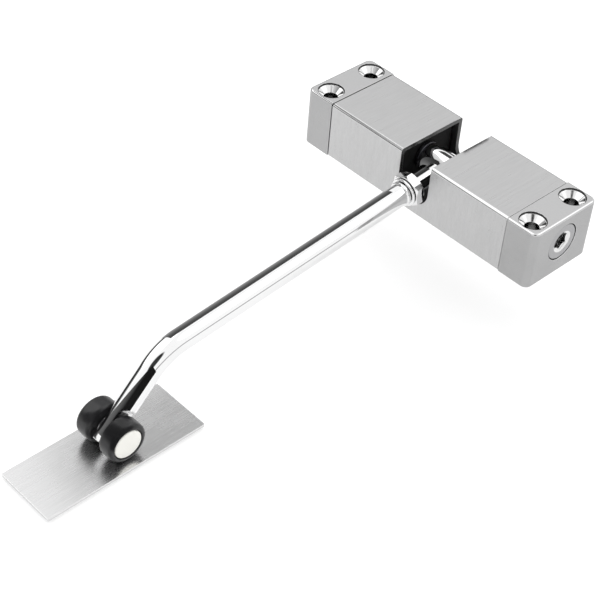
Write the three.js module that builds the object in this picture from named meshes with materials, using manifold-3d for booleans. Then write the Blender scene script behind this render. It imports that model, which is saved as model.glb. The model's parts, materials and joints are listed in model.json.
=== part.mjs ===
// Surface-mounted spring door closer: housing, cross shaft, sprung arm with rollers, and wear plate.
//
// Millimetres. Origin: centre of the housing's back face, which lies on the door frame (z = 0).
// +X runs along the housing towards the tension adjuster, +Z points away from the frame,
// and the arm reaches towards -Y.

import * as THREE from 'three';
import { mergeVertices } from 'three/addons/utils/BufferGeometryUtils.js';
import Module from 'manifold-3d';

const wasm = await Module();
wasm.setup();

// ---------------------------------------------------------------- driving dimensions

const GAP = 0.3;                 // clearance between a piece and its neighbour
const SEAM = 0.2;                // visible joint between housing and cap

const HOUSING = {
  length: 96,                    // over both end caps
  width: 28,
  height: 20,
  wall: 1.5,
  topRadius: 1.1,
  footRadius: 0.5,
  inside: 0.5,                   // radius of the corners inside the tube
  halfTube: 36.7,                // from the middle to a seam
  slotRadius: 6.2,               // half the width of the slot, and its bottom radius
  slotCentre: 9.8,               // height of the slot's bottom radius
};

const CAP = {
  proud: 0.15,                   // how far the cap stands out past the tube
  cornerRadius: 2.2,
  topBevel: 0.8,
  spigot: 4,
  screwX: 42.35,                 // the holes for the wood screws
  screwY: 9.1,
  holeRadius: 2.25,
  sinkRadius: 4.3,
  sinkDepth: 2.3,
};

// The screw that holds a cap to the tube, from the back.
const CAP_SCREW = {
  x: 34.6,
  radius: 1.5,
  headRadius: 2.7,
  headDepth: 1.1,
  length: 3.7,
  sunk: 0.15,                    // head below the back face
  slotWidth: 0.7,
  slotDepth: 0.75,
};

const SHAFT = {
  height: 11,                    // axis above the back face
  radius: 3.5,
  left: -15.6,
  right: 17,
  bevel: 0.4,
  grooveAt: 1.5,                 // middle of the ring's groove, from the left end
  grooveWidth: 0.8,
  grooveDepth: 0.6,
};

const SNAP_RING = { width: 0.5, standsOut: 1.6, halfOpening: 1.4 };

const BUSH = { mouth: 8.4, depth: 5 };

const HUB = {
  sleeveRadius: 4.7,
  halfSleeve: 6.6,
  studRadius: 2.85,
  studEnd: 19,
  tipRadius: 2.2,
  tipEnd: 26,
  edge: 0.6,                     // rounding of the sleeve's ends
  pinRadius: 1,
  pinStart: -0.5,
};

const WASHER = { radius: 4.6, inner: 6.9, outer: 8.1 };

const CARRIER = { radius: 6.8, inner: 13.7, outer: 16.2, legHole: 1.3 };

const SPRING = {
  wireRadius: 1,
  coilRadius: 5.6,
  start: 17.8,
  end: 34.6,
  turns: 6.5,
  legInner: 14.4,
  legOuter: 38.2,
  legShare: 0.06,                // share of the centre line in each leg
};

const ADJUSTER = {
  radius: 6,
  bore: 6.25,
  flangeRadius: 6.6,
  flangeInner: 36.2,
  flangeOuter: 39.2,
  face: 47.85,
  keyFlats: 5,
  keyDepth: 6,
  leadRadius: 3.7,
  leadDepth: 0.8,
  bevel: 0.25,
  legHoleRoof: 0.6,              // metal left between the leg's hole and the flange's outer face
};

const ARM = {
  dip: 5.8,                      // degrees below level, with the rollers on the plate
  radius: 3.57,
  start: 18.8,
  bendAt: 114.2,                 // from the shaft to the corner of the bend
  bendRadius: 18,
  bendAngle: 39.6,
  legLength: 26.2,               // from the corner of the bend to the axle
  tangPastAxle: 4.3,
  tangHalf: 1.3,
  tangLength: 5,                 // from the axle to where the flats start to run out
  tangRunOut: 3,                 // radius of the run-out
  collarRadius: 4.05,
  collarLength: 1.1,
  collarEdge: 0.35,
  boreRadius: 2.5,
  boreDepth: 9,
};

const NUT = { flats: 10, inner: 14.3, outer: 17.5, chamfer: 0.5 };

const LOCK_WASHER = { radius: 4.7, inner: 17.75, outer: 18.5, bevel: 0.25 };

const ROLLER = {
  radius: 6.5,
  inner: 2.3,
  outer: 8,
  edge: 1.1,
  coreRadius: 3.7,
  capRadius: 4.65,
  capInner: 7.2,
  axleRadius: 2,
  axleBevel: 0.3,
  spacerRadius: 3.4,
  clearance: 0.1,                // under the rollers, at rest
};

const PLATE = {
  length: 55.5,
  width: 21.5,
  thickness: 1,
  cornerRadius: 0.5,
  centreY: -134.1,
};

const PAD = {
  thickness: 0.8,
  inset: 1,                      // inside the plate's edge, all round
  cornerRadius: 1,
  below: 0.05,                   // gap under the plate
};

// ---------------------------------------------------------------- materials

function metal(color, roughness) {
  return new THREE.MeshStandardMaterial({ color, roughness, metalness: 1 });
}

function plastic(color, roughness) {
  return new THREE.MeshStandardMaterial({ color, roughness, metalness: 0 });
}

const FINISH = {
  brushed: () => metal(0xc6c6c6, 0.35),
  satinCast: () => metal(0xb4b4b4, 0.4),
  chrome: () => metal(0xe6e6e8, 0.08),
  steel: () => metal(0xa8a9ab, 0.3),
  springSteel: () => metal(0x6d6f72, 0.4),
  blackPlastic: () => plastic(0x101010, 0.5),
  rubber: () => plastic(0x1c1c1c, 0.55),
  whitePlastic: () => plastic(0xfaf9f3, 0.4),
  foam: () => plastic(0xe9e9e4, 0.9),
};

// ---------------------------------------------------------------- shape helpers

const DEG = Math.PI / 180;
const QUARTER = Math.PI / 2;
const SMOOTH = 48;               // sides of a large turned piece
const ROUND = 32;                // sides of a turned piece
const FINE = 20;                 // sides of a small hole or pin
const PIN = 16;                  // sides of the smallest
const BEYOND = 1;                // how far a cutting tool runs past the face it opens
const THROUGH = 40;              // half the length of a tool that cuts right across a piece

function toSolid(geometry) {
  const bare = geometry.index ? geometry.toNonIndexed() : geometry.clone();
  bare.deleteAttribute('normal');
  bare.deleteAttribute('uv');
  const merged = mergeVertices(bare, 1e-4);
  return new wasm.Manifold(new wasm.Mesh({
    numProp: 3,
    vertProperties: new Float32Array(merged.attributes.position.array),
    triVerts: new Uint32Array(merged.index.array),
  }));
}

function toGeometry(solid) {
  const mesh = solid.getMesh();
  const geometry = new THREE.BufferGeometry();
  geometry.setAttribute('position', new THREE.BufferAttribute(new Float32Array(mesh.vertProperties), 3));
  geometry.setIndex(new THREE.BufferAttribute(new Uint32Array(mesh.triVerts), 1));
  geometry.computeVertexNormals();
  return geometry;
}

// The base shape with every tool cut out of it.
function cut(base, ...tools) {
  let solid = toSolid(base);
  for (const tool of tools) {
    solid = solid.subtract(toSolid(tool));
  }
  return toGeometry(solid);
}

function join(...shapes) {
  const [first, ...rest] = shapes.map(toSolid);
  return toGeometry(rest.reduce((sum, solid) => sum.add(solid), first));
}

function common(shape, other) {
  return toGeometry(toSolid(shape).intersect(toSolid(other)));
}

// A box given by its two limits along each axis.
function block([x0, x1], [y0, y1], [z0, z1]) {
  const geometry = new THREE.BoxGeometry(x1 - x0, y1 - y0, z1 - z0);
  return geometry.translate((x0 + x1) / 2, (y0 + y1) / 2, (z0 + z1) / 2);
}

// A turned piece about the X axis. Points are [x, radius], up the outside and back down the inside.
function turned(points, sides = ROUND) {
  const profile = points.map(([x, radius]) => new THREE.Vector2(radius, x));
  const closed = points[0][1] > 0 ? [...profile, profile[0].clone()] : profile;
  return new THREE.LatheGeometry(closed, sides).rotateZ(-QUARTER);
}

function rod(x0, x1, radius, sides = FINE) {
  return turned([[x0, 0], [x0, radius], [x1, radius], [x1, 0]], sides);
}

function ring(x0, x1, outer, inner, bevel = 0.15, sides = ROUND) {
  return turned([
    [x0, inner],
    [x0, outer - bevel],
    [x0 + bevel, outer],
    [x1 - bevel, outer],
    [x1, outer - bevel],
    [x1, inner],
  ], sides);
}

// Points round a circle, from one angle to another, in degrees.
function arc(centreX, centreY, radius, from, to, steps) {
  const points = [];
  for (let step = 0; step <= steps; step += 1) {
    const angle = (from + (to - from) * step / steps) * DEG;
    points.push(new THREE.Vector2(centreX + radius * Math.cos(angle), centreY + radius * Math.sin(angle)));
  }
  return points;
}

function polygon(radius, sides, firstAngle = 0) {
  return new THREE.Shape(arc(0, 0, radius, firstAngle, firstAngle + 360, sides).slice(0, -1));
}

function hexagon(flats) {
  return polygon(flats / 2 / Math.cos(30 * DEG), 6, 30);
}

// A rectangle with round corners, which may have another radius below than above.
function roundedOutline(width, height, steps, upperRadius, lowerRadius = upperRadius) {
  const corners = [[1, 1, upperRadius], [-1, 1, upperRadius], [-1, -1, lowerRadius], [1, -1, lowerRadius]];
  const points = corners.flatMap(([sideX, sideY, radius], index) => {
    const centreX = sideX * (width / 2 - radius);
    const centreY = sideY * (height / 2 - radius);
    return arc(centreX, centreY, radius, 90 * index, 90 * (index + 1), steps);
  });
  return new THREE.Shape(points);
}

// An outline drawn in Y and Z, extruded along X from x0 to x1, centred at the given height.
function alongX(shape, x0, x1, height) {
  const geometry = new THREE.ExtrudeGeometry(shape, { depth: x1 - x0, bevelEnabled: false });
  geometry.rotateX(QUARTER).rotateZ(QUARTER);
  return geometry.translate(x0, 0, height);
}

// Turns a piece drawn upwards along X so that it stands along Z.
function upright(geometry) {
  return geometry.rotateY(-QUARTER);
}

// The mirror image across x = 0, with its faces turned outwards again.
function mirrorX(geometry) {
  const mirrored = geometry.clone().scale(-1, 1, 1);
  const corners = mirrored.index.array;
  for (let first = 0; first < corners.length; first += 3) {
    [corners[first], corners[first + 1]] = [corners[first + 1], corners[first]];
  }
  mirrored.computeVertexNormals();
  return mirrored;
}

function node(name, geometry, material) {
  const mesh = new THREE.Mesh(geometry, material);
  mesh.name = name;
  return mesh;
}

// A pair of pieces: the right one as drawn, the left one its mirror image.
function pair(name, geometry, finish) {
  return [
    node(`right_${name}`, geometry, finish()),
    node(`left_${name}`, mirrorX(geometry), finish()),
  ];
}

// ---------------------------------------------------------------- housing

const middle = HOUSING.height / 2;

function housingTube() {
  const { width, height, wall, halfTube, topRadius, footRadius, slotRadius, slotCentre, inside } = HOUSING;
  const outer = alongX(roundedOutline(width, height, 4, topRadius, footRadius), -halfTube, halfTube, middle);
  const hollow = roundedOutline(width - 2 * wall, height - 2 * wall, 2, inside);
  const inner = alongX(hollow, -halfTube - BEYOND, halfTube + BEYOND, middle);
  const slotBottom = rod(-THROUGH, THROUGH, slotRadius, SMOOTH).rotateZ(QUARTER).translate(0, 0, slotCentre);
  const slotMouth = block([-slotRadius, slotRadius], [-THROUGH, THROUGH], [slotCentre, THROUGH]);
  return cut(outer, inner, slotBottom, slotMouth, capScrewHole(1), capScrewHole(-1));
}

// The hole for a cap's fixing screw, in the back wall and the spigot behind it.
function capScrewHole(side) {
  const { x, radius, headRadius, headDepth, length } = CAP_SCREW;
  const hole = turned([
    [-BEYOND, 0],
    [-BEYOND, headRadius + GAP],
    [0, headRadius + GAP],
    [headDepth, radius + GAP],
    [length + GAP, radius + GAP],
    [length + GAP, 0],
  ], FINE);
  return upright(hole).translate(side * x, 0, 0);
}

function capScrew() {
  const { radius, headRadius, headDepth, length, sunk, slotWidth, slotDepth } = CAP_SCREW;
  const screw = turned([
    [sunk, 0],
    [sunk, headRadius - 0.1],
    [sunk + headDepth, radius],
    [length, radius],
    [length, 0],
  ], FINE);
  const slot = block([-THROUGH, THROUGH], [-slotWidth / 2, slotWidth / 2], [-BEYOND, sunk + slotDepth]);
  return cut(upright(screw), slot);
}

function countersink(y) {
  const { screwX, holeRadius, sinkRadius, sinkDepth } = CAP;
  const top = HOUSING.height + CAP.proud;
  const hole = turned([
    [-BEYOND, 0],
    [-BEYOND, holeRadius],
    [top - sinkDepth, holeRadius],
    [top, sinkRadius],
    [top + BEYOND, sinkRadius],
    [top + BEYOND, 0],
  ]);
  return upright(hole).translate(screwX, y, 0);
}

// The right end cap: a block with softened outer corners and a spigot that plugs the tube.
function endCapBlock() {
  const { width, height, length, halfTube, wall, inside } = HOUSING;
  const { proud, cornerRadius, topBevel, spigot } = CAP;
  const seam = halfTube + SEAM;
  const reach = length / 2 - seam;
  const flatTop = roundedOutline(
    2 * reach - 2 * topBevel, width + 2 * proud - 2 * topBevel, 6, cornerRadius - topBevel);
  const bar = new THREE.ExtrudeGeometry(flatTop, {
    depth: height + proud - topBevel,
    bevelEnabled: true,
    bevelThickness: topBevel,
    bevelSize: topBevel,
    bevelSegments: 4,
  }).translate(seam, 0, 0);
  const outerHalf = block([seam, length], [-THROUGH, THROUGH], [0, THROUGH]);
  const plugWidth = width - 2 * (wall + GAP);
  const plugHeight = height - 2 * (wall + GAP);
  const plug = alongX(roundedOutline(plugWidth, plugHeight, 2, inside), seam - spigot, seam + BEYOND, middle);
  return join(common(bar, outerHalf), plug);
}

function rightEndCap() {
  const { bore, flangeRadius, flangeOuter } = ADJUSTER;
  const { screwY } = CAP;
  const adjusterBore = rod(0, HOUSING.length, bore, SMOOTH).translate(0, 0, SHAFT.height);
  const flangeBore = rod(0, flangeOuter + GAP, flangeRadius + GAP, SMOOTH).translate(0, 0, SHAFT.height);
  return cut(
    endCapBlock(), adjusterBore, flangeBore, countersink(screwY), countersink(-screwY), capScrewHole(1));
}

function leftEndCap() {
  const { screwY } = CAP;
  return mirrorX(cut(endCapBlock(), countersink(screwY), countersink(-screwY), capScrewHole(1)));
}

function bush() {
  const { width, height, wall } = HOUSING;
  const outline = roundedOutline(width - 2 * (wall + GAP), height - 2 * (wall + GAP), 2, HOUSING.inside);
  const body = alongX(outline, BUSH.mouth, BUSH.mouth + BUSH.depth, middle);
  const bore = rod(0, THROUGH, SHAFT.radius + GAP, ROUND).translate(0, 0, SHAFT.height);
  return cut(body, bore);
}

// ---------------------------------------------------------------- spring and adjuster

// The spring's centre line: an axial leg, the coils about X, and an axial leg at the other end.
class SpringLine extends THREE.Curve {
  getPoint(t, target = new THREE.Vector3()) {
    const { coilRadius, start, end, turns, legInner, legOuter, legShare } = SPRING;
    const coilAngle = THREE.MathUtils.clamp((t - legShare) / (1 - 2 * legShare), 0, 1);
    const angle = coilAngle * turns * 2 * Math.PI;
    let x = start + (end - start) * coilAngle;
    if (t < legShare) {
      x = legInner + (start - legInner) * (t / legShare);
    } else if (t > 1 - legShare) {
      x = end + (legOuter - end) * (t - 1 + legShare) / legShare;
    }
    return target.set(x, coilRadius * Math.cos(angle), coilRadius * Math.sin(angle));
  }
}

function torsionSpring() {
  const stepsPerTurn = 17;
  const steps = Math.round(SPRING.turns * stepsPerTurn);
  const corners = new SpringLine().getPoints(steps);
  return new THREE.ExtrudeGeometry(polygon(SPRING.wireRadius, 8), {
    steps,
    extrudePath: new THREE.CatmullRomCurve3(corners, false, 'centripetal'),
    bevelEnabled: false,
  });
}

function thrustWasher() {
  const { radius, inner, outer } = WASHER;
  return ring(inner, outer, radius, SHAFT.radius + GAP);
}

// The hole that a leg of the spring sits in, so many turns from the spring's start.
function legHole(x0, x1, turns) {
  const angle = turns * 2 * Math.PI;
  const y = SPRING.coilRadius * Math.cos(angle);
  const z = SPRING.coilRadius * Math.sin(angle);
  return rod(x0, x1, CARRIER.legHole, PIN).translate(0, y, z);
}

function springCarrier() {
  const { radius, inner, outer } = CARRIER;
  const collar = ring(inner, outer, radius, SHAFT.radius + GAP);
  return cut(collar, legHole(inner - BEYOND, outer + BEYOND, 0));
}

function tensionAdjuster() {
  const { radius, flangeRadius, flangeInner, flangeOuter, face, bevel, legHoleRoof } = ADJUSTER;
  const { keyFlats, keyDepth, leadRadius, leadDepth } = ADJUSTER;
  const plug = turned([
    [flangeInner, 0],
    [flangeInner, flangeRadius],
    [flangeOuter, flangeRadius],
    [flangeOuter, radius],
    [face - bevel, radius],
    [face, radius - bevel],
    [face, 0],
  ], SMOOTH);
  const socket = alongX(hexagon(keyFlats), face - keyDepth, face + BEYOND, 0);
  const lead = turned([
    [face - leadDepth, 0],
    [face - leadDepth, keyFlats / 2],
    [face, leadRadius],
    [face + BEYOND, leadRadius],
    [face + BEYOND, 0],
  ]);
  return cut(plug, socket, lead, legHole(flangeInner - BEYOND, flangeOuter - legHoleRoof, SPRING.turns));
}

// ---------------------------------------------------------------- arm

// Turns a piece drawn along X so that it lies along the arm.
function alongArm(geometry) {
  return geometry.rotateZ(-QUARTER);
}

// Turns a piece drawn along X so that it points away from the arm, to the rear.
function toRear(geometry) {
  return geometry.rotateZ(QUARTER);
}

// Hub: the sleeve on the shaft and the threaded stud that the arm screws on to, as one T-piece.
function armHub() {
  const { sleeveRadius, halfSleeve, studRadius, studEnd, tipRadius, tipEnd, edge, pinRadius } = HUB;
  const edgeSteps = 3;
  const leftEdge = arc(edge - halfSleeve, sleeveRadius - edge, edge, 180, 90, edgeSteps);
  const rightEdge = arc(halfSleeve - edge, sleeveRadius - edge, edge, 90, 0, edgeSteps);
  const sleeve = turned([
    [-halfSleeve, 0],
    ...[...leftEdge, ...rightEdge].map(({ x, y }) => [x, y]),
    [halfSleeve, 0],
  ], SMOOTH);
  const taper = studRadius - tipRadius;
  const stud = alongArm(turned([
    [0, 0],
    [0, studRadius],
    [studEnd - taper, studRadius],
    [studEnd, tipRadius],
    [tipEnd - taper, tipRadius],
    [tipEnd, tipRadius - taper],
    [tipEnd, 0],
  ]));
  const bore = rod(-THROUGH, THROUGH, SHAFT.radius + GAP, ROUND);
  const pinHole = toRear(rod(0, THROUGH, pinRadius + GAP, PIN));
  return cut(join(sleeve, stud), bore, pinHole);
}

function crossShaft() {
  const { radius, left, right, bevel, grooveAt, grooveWidth, grooveDepth } = SHAFT;
  const bar = turned([
    [left, 0],
    [left, radius - bevel],
    [left + bevel, radius],
    [right - bevel, radius],
    [right, radius - bevel],
    [right, 0],
  ]);
  const grooveStart = left + grooveAt - grooveWidth / 2;
  const groove = ring(grooveStart, grooveStart + grooveWidth, radius + BEYOND, radius - grooveDepth, 0);
  const pinHole = toRear(rod(HUB.pinStart - GAP, THROUGH, HUB.pinRadius + GAP, PIN));
  return cut(bar, groove, pinHole);
}

function hubPin() {
  const { sleeveRadius, pinRadius, pinStart } = HUB;
  return toRear(rod(pinStart, sleeveRadius - GAP, pinRadius, PIN));
}

// Snap ring in the shaft's groove, open towards the arm.
function retainingRing() {
  const { width, standsOut, halfOpening } = SNAP_RING;
  const { left, radius, grooveAt, grooveDepth } = SHAFT;
  const start = left + grooveAt - width / 2;
  const body = ring(start, start + width, radius + standsOut, radius - grooveDepth + GAP, 0.1);
  const opening = block([-THROUGH, 0], [-THROUGH, 0], [-halfOpening, halfOpening]);
  return cut(body, opening);
}

function lockNut() {
  const { flats, inner, outer, chamfer } = NUT;
  const corner = flats / 2 / Math.cos(30 * DEG);
  const prism = alongX(hexagon(flats), inner, outer, 0);
  const chamfered = turned([
    [inner, 0],
    [inner, flats / 2],
    [inner + chamfer, corner],
    [outer - chamfer, corner],
    [outer, flats / 2],
    [outer, 0],
  ], SMOOTH);
  const bore = rod(-BEYOND, THROUGH, HUB.studRadius + GAP, ROUND);
  return alongArm(cut(common(prism, chamfered), bore));
}

function lockWasher() {
  const { radius, inner, outer, bevel } = LOCK_WASHER;
  return alongArm(ring(inner, outer, radius, HUB.studRadius + GAP, bevel));
}

// The rod's centre line in the arm's own plane: straight, one bend, then the leg to the axle.
function armLine() {
  const { start, bendAt, bendRadius, bendAngle, legLength, tangPastAxle } = ARM;
  const tangent = bendRadius * Math.tan(bendAngle / 2 * DEG);
  const points = [];
  const straightSteps = 4;
  const bendSteps = 12;
  for (let step = 0; step <= straightSteps; step += 1) {
    const along = start + (bendAt - tangent - start) * step / straightSteps;
    points.push(new THREE.Vector3(0, -along, 0));
  }
  for (let step = 1; step <= bendSteps; step += 1) {
    const angle = bendAngle * step / bendSteps * DEG;
    const along = bendAt - tangent + bendRadius * Math.sin(angle);
    points.push(new THREE.Vector3(0, -along, -bendRadius * (1 - Math.cos(angle))));
  }
  const legDirection = new THREE.Vector3(0, -Math.cos(bendAngle * DEG), -Math.sin(bendAngle * DEG));
  const corner = new THREE.Vector3(0, -bendAt, 0);
  const legSteps = 3;
  for (let step = 1; step <= legSteps; step += 1) {
    const along = tangent + (legLength + tangPastAxle - tangent) * step / legSteps;
    points.push(corner.clone().addScaledVector(legDirection, along));
  }
  return points;
}

// A curve through the points that steps from one to the next, however far apart they are.
class PointByPoint extends THREE.Curve {
  constructor(points) {
    super();
    this.points = points;
  }

  getPoint(t, target = new THREE.Vector3()) {
    const last = this.points.length - 1;
    const index = Math.min(Math.floor(t * last), last - 1);
    return target.lerpVectors(this.points[index], this.points[index + 1], t * last - index);
  }

  getPointAt(t, target) {
    return this.getPoint(t, target);
  }

  getTangentAt(t, target) {
    return this.getTangent(t, target);
  }
}

// Axle position in the arm's own frame.
function axleInArm() {
  const { bendAt, bendAngle, legLength } = ARM;
  return new THREE.Vector3(
    0, -bendAt - legLength * Math.cos(bendAngle * DEG), -legLength * Math.sin(bendAngle * DEG));
}

// One of the two flats that leave the tang, with a rounded run-out towards the rod.
function tangFlat(side) {
  const { tangHalf, tangLength, tangPastAxle, tangRunOut } = ARM;
  const top = tangHalf + 2 * tangRunOut;
  const slab = block([-tangPastAxle - BEYOND, tangLength], [-THROUGH, THROUGH], [tangHalf, top]);
  const runOut = toRear(rod(-THROUGH, THROUGH, tangRunOut, ROUND));
  const flat = join(slab, runOut.translate(tangLength, 0, tangHalf + tangRunOut));
  // Local X points back up the leg and local Z away from the tang's middle plane.
  const upLeg = new THREE.Vector3(0, Math.cos(ARM.bendAngle * DEG), Math.sin(ARM.bendAngle * DEG));
  const outward = new THREE.Vector3(side, 0, 0);
  const frame = new THREE.Matrix4().makeBasis(upLeg, outward.clone().cross(upLeg), outward);
  frame.setPosition(axleInArm());
  return flat.applyMatrix4(frame);
}

function armRod() {
  const { start, radius, collarRadius, collarLength, collarEdge, boreRadius, boreDepth } = ARM;
  const line = armLine();
  const stock = new THREE.ExtrudeGeometry(polygon(radius, 28), {
    steps: line.length - 1,
    extrudePath: new PointByPoint(line),
    bevelEnabled: false,
  });
  const collar = alongArm(turned([
    [start, 0],
    [start, collarRadius - collarEdge],
    [start + collarEdge, collarRadius],
    [start + collarLength - collarEdge, collarRadius],
    [start + collarLength, radius - collarEdge],
    [start + collarLength, 0],
  ]));
  const bore = alongArm(rod(start - BEYOND, start + boreDepth, boreRadius, FINE));
  const axle = axleInArm();
  const axleHole = rod(-THROUGH, THROUGH, ROLLER.axleRadius + GAP, FINE).translate(axle.x, axle.y, axle.z);
  return cut(join(stock, collar), bore, axleHole, tangFlat(1), tangFlat(-1));
}

// ---------------------------------------------------------------- rollers

function rollerAxle() {
  const { axleRadius, axleBevel, capInner } = ROLLER;
  const half = capInner - GAP;
  return turned([
    [-half, 0],
    [-half, axleRadius - axleBevel],
    [axleBevel - half, axleRadius],
    [half - axleBevel, axleRadius],
    [half, axleRadius - axleBevel],
    [half, 0],
  ], FINE);
}

function tyre() {
  const { radius, inner, outer, edge, coreRadius, capRadius, capInner } = ROLLER;
  const edgeSteps = 3;
  const innerEdge = arc(inner + edge, radius - edge, edge, 180, 90, edgeSteps);
  const outerEdge = arc(outer - edge, radius - edge, edge, 90, 0, edgeSteps);
  return turned([
    [inner, coreRadius + GAP],
    ...[...innerEdge, ...outerEdge].map(({ x, y }) => [x, y]),
    [outer, capRadius + GAP],
    [capInner - GAP, capRadius + GAP],
    [capInner - GAP, coreRadius + GAP],
  ], 40);
}

function rollerCore() {
  const { inner, coreRadius, capInner, axleRadius } = ROLLER;
  return ring(inner + 0.1, capInner - GAP, coreRadius, axleRadius + GAP);
}

function rollerCap() {
  const { outer, capRadius, capInner } = ROLLER;
  return turned([
    [capInner, 0],
    [capInner, capRadius],
    [outer - 0.35, capRadius],
    [outer - 0.12, capRadius - 0.25],
    [outer - 0.04, capRadius - 1],
    [outer, 0],
  ]);
}

function spacer() {
  const { inner, spacerRadius, axleRadius } = ROLLER;
  const side = 0.2;
  return ring(ARM.tangHalf + side, inner - side, spacerRadius, axleRadius + GAP, 0.1, FINE);
}

// ---------------------------------------------------------------- wear plate

function sheetBelow(top, length, width, thickness, cornerRadius) {
  const outline = roundedOutline(width, length, 3, cornerRadius);
  const geometry = new THREE.ExtrudeGeometry(outline, { depth: thickness, bevelEnabled: false });
  return geometry.translate(0, PLATE.centreY, top - thickness);
}

function wearPlate(top) {
  const { length, width, thickness, cornerRadius } = PLATE;
  return sheetBelow(top, length, width, thickness, cornerRadius);
}

function adhesivePad(top) {
  const { thickness, inset, cornerRadius } = PAD;
  return sheetBelow(top, PLATE.length - 2 * inset, PLATE.width - 2 * inset, thickness, cornerRadius);
}

// ---------------------------------------------------------------- assembly

const closer = new THREE.Group();

const housing = new THREE.Group();
housing.add(
  node('housing_tube', housingTube(), FINISH.brushed()),
  node('right_end_cap', rightEndCap(), FINISH.satinCast()),
  node('left_end_cap', leftEndCap(), FINISH.satinCast()),
  ...pair('bush', bush(), FINISH.blackPlastic),
);
for (const [name, side] of [['right_cap_screw', 1], ['left_cap_screw', -1]]) {
  const screw = node(name, capScrew(), FINISH.steel());
  screw.position.x = side * CAP_SCREW.x;
  housing.add(screw);
}
closer.add(housing);

// What lies about the shaft's axis: the arm is a group of its own inside it, tilted down to the plate.
const aboutShaft = new THREE.Group();
aboutShaft.position.z = SHAFT.height;
aboutShaft.add(
  node('tension_adjuster', tensionAdjuster(), FINISH.steel()),
  node('torsion_spring', torsionSpring(), FINISH.springSteel()),
  node('spring_carrier', springCarrier(), FINISH.steel()),
  ...pair('thrust_washer', thrustWasher(), FINISH.steel),
);
closer.add(aboutShaft);

const arm = new THREE.Group();
arm.rotation.x = ARM.dip * DEG;
arm.add(
  node('shaft', crossShaft(), FINISH.steel()),
  node('retaining_ring', retainingRing(), FINISH.springSteel()),
  node('arm_hub', armHub(), FINISH.chrome()),
  node('hub_pin', hubPin(), FINISH.springSteel()),
  node('lock_nut', lockNut(), FINISH.chrome()),
  node('lock_washer', lockWasher(), FINISH.chrome()),
  node('arm_rod', armRod(), FINISH.chrome()),
);
aboutShaft.add(arm);

const rollers = new THREE.Group();
rollers.position.copy(axleInArm());
rollers.add(
  node('roller_axle', rollerAxle(), FINISH.steel()),
  ...pair('tyre', tyre(), FINISH.rubber),
  ...pair('roller_core', rollerCore(), FINISH.whitePlastic),
  ...pair('roller_cap', rollerCap(), FINISH.whitePlastic),
  ...pair('spacer', spacer(), FINISH.steel),
);
arm.add(rollers);

const axleHeight = axleInArm().applyEuler(arm.rotation).z + SHAFT.height;
const plateTop = axleHeight - ROLLER.radius - ROLLER.clearance;
closer.add(
  node('wear_plate', wearPlate(plateTop), FINISH.brushed()),
  node('adhesive_pad', adhesivePad(plateTop - PLATE.thickness - PAD.below), FINISH.foam()),
);

export default closer;
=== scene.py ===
import json
import math

import bmesh
import bpy
from mathutils import Matrix, Quaternion, Vector


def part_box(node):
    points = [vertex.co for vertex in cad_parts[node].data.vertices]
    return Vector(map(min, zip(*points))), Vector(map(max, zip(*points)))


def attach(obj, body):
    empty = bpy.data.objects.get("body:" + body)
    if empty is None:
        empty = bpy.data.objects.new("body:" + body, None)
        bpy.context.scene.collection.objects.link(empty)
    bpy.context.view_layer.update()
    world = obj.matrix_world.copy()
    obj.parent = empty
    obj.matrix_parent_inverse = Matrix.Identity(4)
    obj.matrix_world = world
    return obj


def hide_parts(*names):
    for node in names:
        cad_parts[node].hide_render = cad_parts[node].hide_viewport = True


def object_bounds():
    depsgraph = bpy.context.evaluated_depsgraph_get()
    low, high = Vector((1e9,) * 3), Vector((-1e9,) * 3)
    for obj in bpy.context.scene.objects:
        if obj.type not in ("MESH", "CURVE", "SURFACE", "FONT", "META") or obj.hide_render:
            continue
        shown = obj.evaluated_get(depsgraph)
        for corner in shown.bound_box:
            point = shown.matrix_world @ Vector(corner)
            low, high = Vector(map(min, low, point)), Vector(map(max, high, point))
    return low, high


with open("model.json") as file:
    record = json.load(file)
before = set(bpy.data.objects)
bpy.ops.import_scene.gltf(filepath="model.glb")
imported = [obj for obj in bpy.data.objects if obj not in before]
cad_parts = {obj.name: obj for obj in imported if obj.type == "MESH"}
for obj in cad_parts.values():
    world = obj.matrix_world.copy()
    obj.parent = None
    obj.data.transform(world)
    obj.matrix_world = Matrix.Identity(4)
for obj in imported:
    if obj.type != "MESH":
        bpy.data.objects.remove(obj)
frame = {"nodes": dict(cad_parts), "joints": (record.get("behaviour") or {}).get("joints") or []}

bl_info = {
    "name": "Door closer",
    "version": (1, 0, 0),
    "blender": (4, 5, 0),
    "location": "3D View > Sidebar > Door closer",
    "description": "Dresses the packed frame of a small spring door closer",
    "category": "Object",
}

MM = 0.001
BEYOND = 0.002      # how far a cutting tool stands out of what it cuts
FAR = 0.06          # past the end of any hole or slot

# ---------------------------------------------------------------- places from the frame

CAD_LOW, CAD_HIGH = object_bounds()
JOINTS = {joint["name"]: joint for joint in frame["joints"]}
SHAFT = Vector(JOINTS["arm_swing"]["pos_m"])
AXLE = Vector(JOINTS["right_roller_spin"]["pos_m"])
ORIGIN = Vector((0, 0, 0))
ACROSS = Vector((1, 0, 0))
AWAY_FROM_DOOR = Vector((0, 1, 0))
UP = Vector((0, 0, 1))
ALONG_ARM = -Vector(JOINTS["nut_travel"]["axis"]).normalized()
UNDER_ARM = ACROSS.cross(ALONG_ARM)
TUBE_LOW, TUBE_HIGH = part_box("housing_tube")
CAP_LOW, CAP_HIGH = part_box("right_end_cap")


# ---------------------------------------------------------------- settings


def length(name, description, millimetres):
    """A length property whose default is given in millimetres."""
    return bpy.props.FloatProperty(
        name=name, description=description, default=millimetres * MM, unit="LENGTH", precision=5)


def colour(name, description, value):
    """A colour property."""
    return bpy.props.FloatVectorProperty(
        name=name, description=description, default=value, subtype="COLOR", size=3, min=0, max=1)


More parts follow.
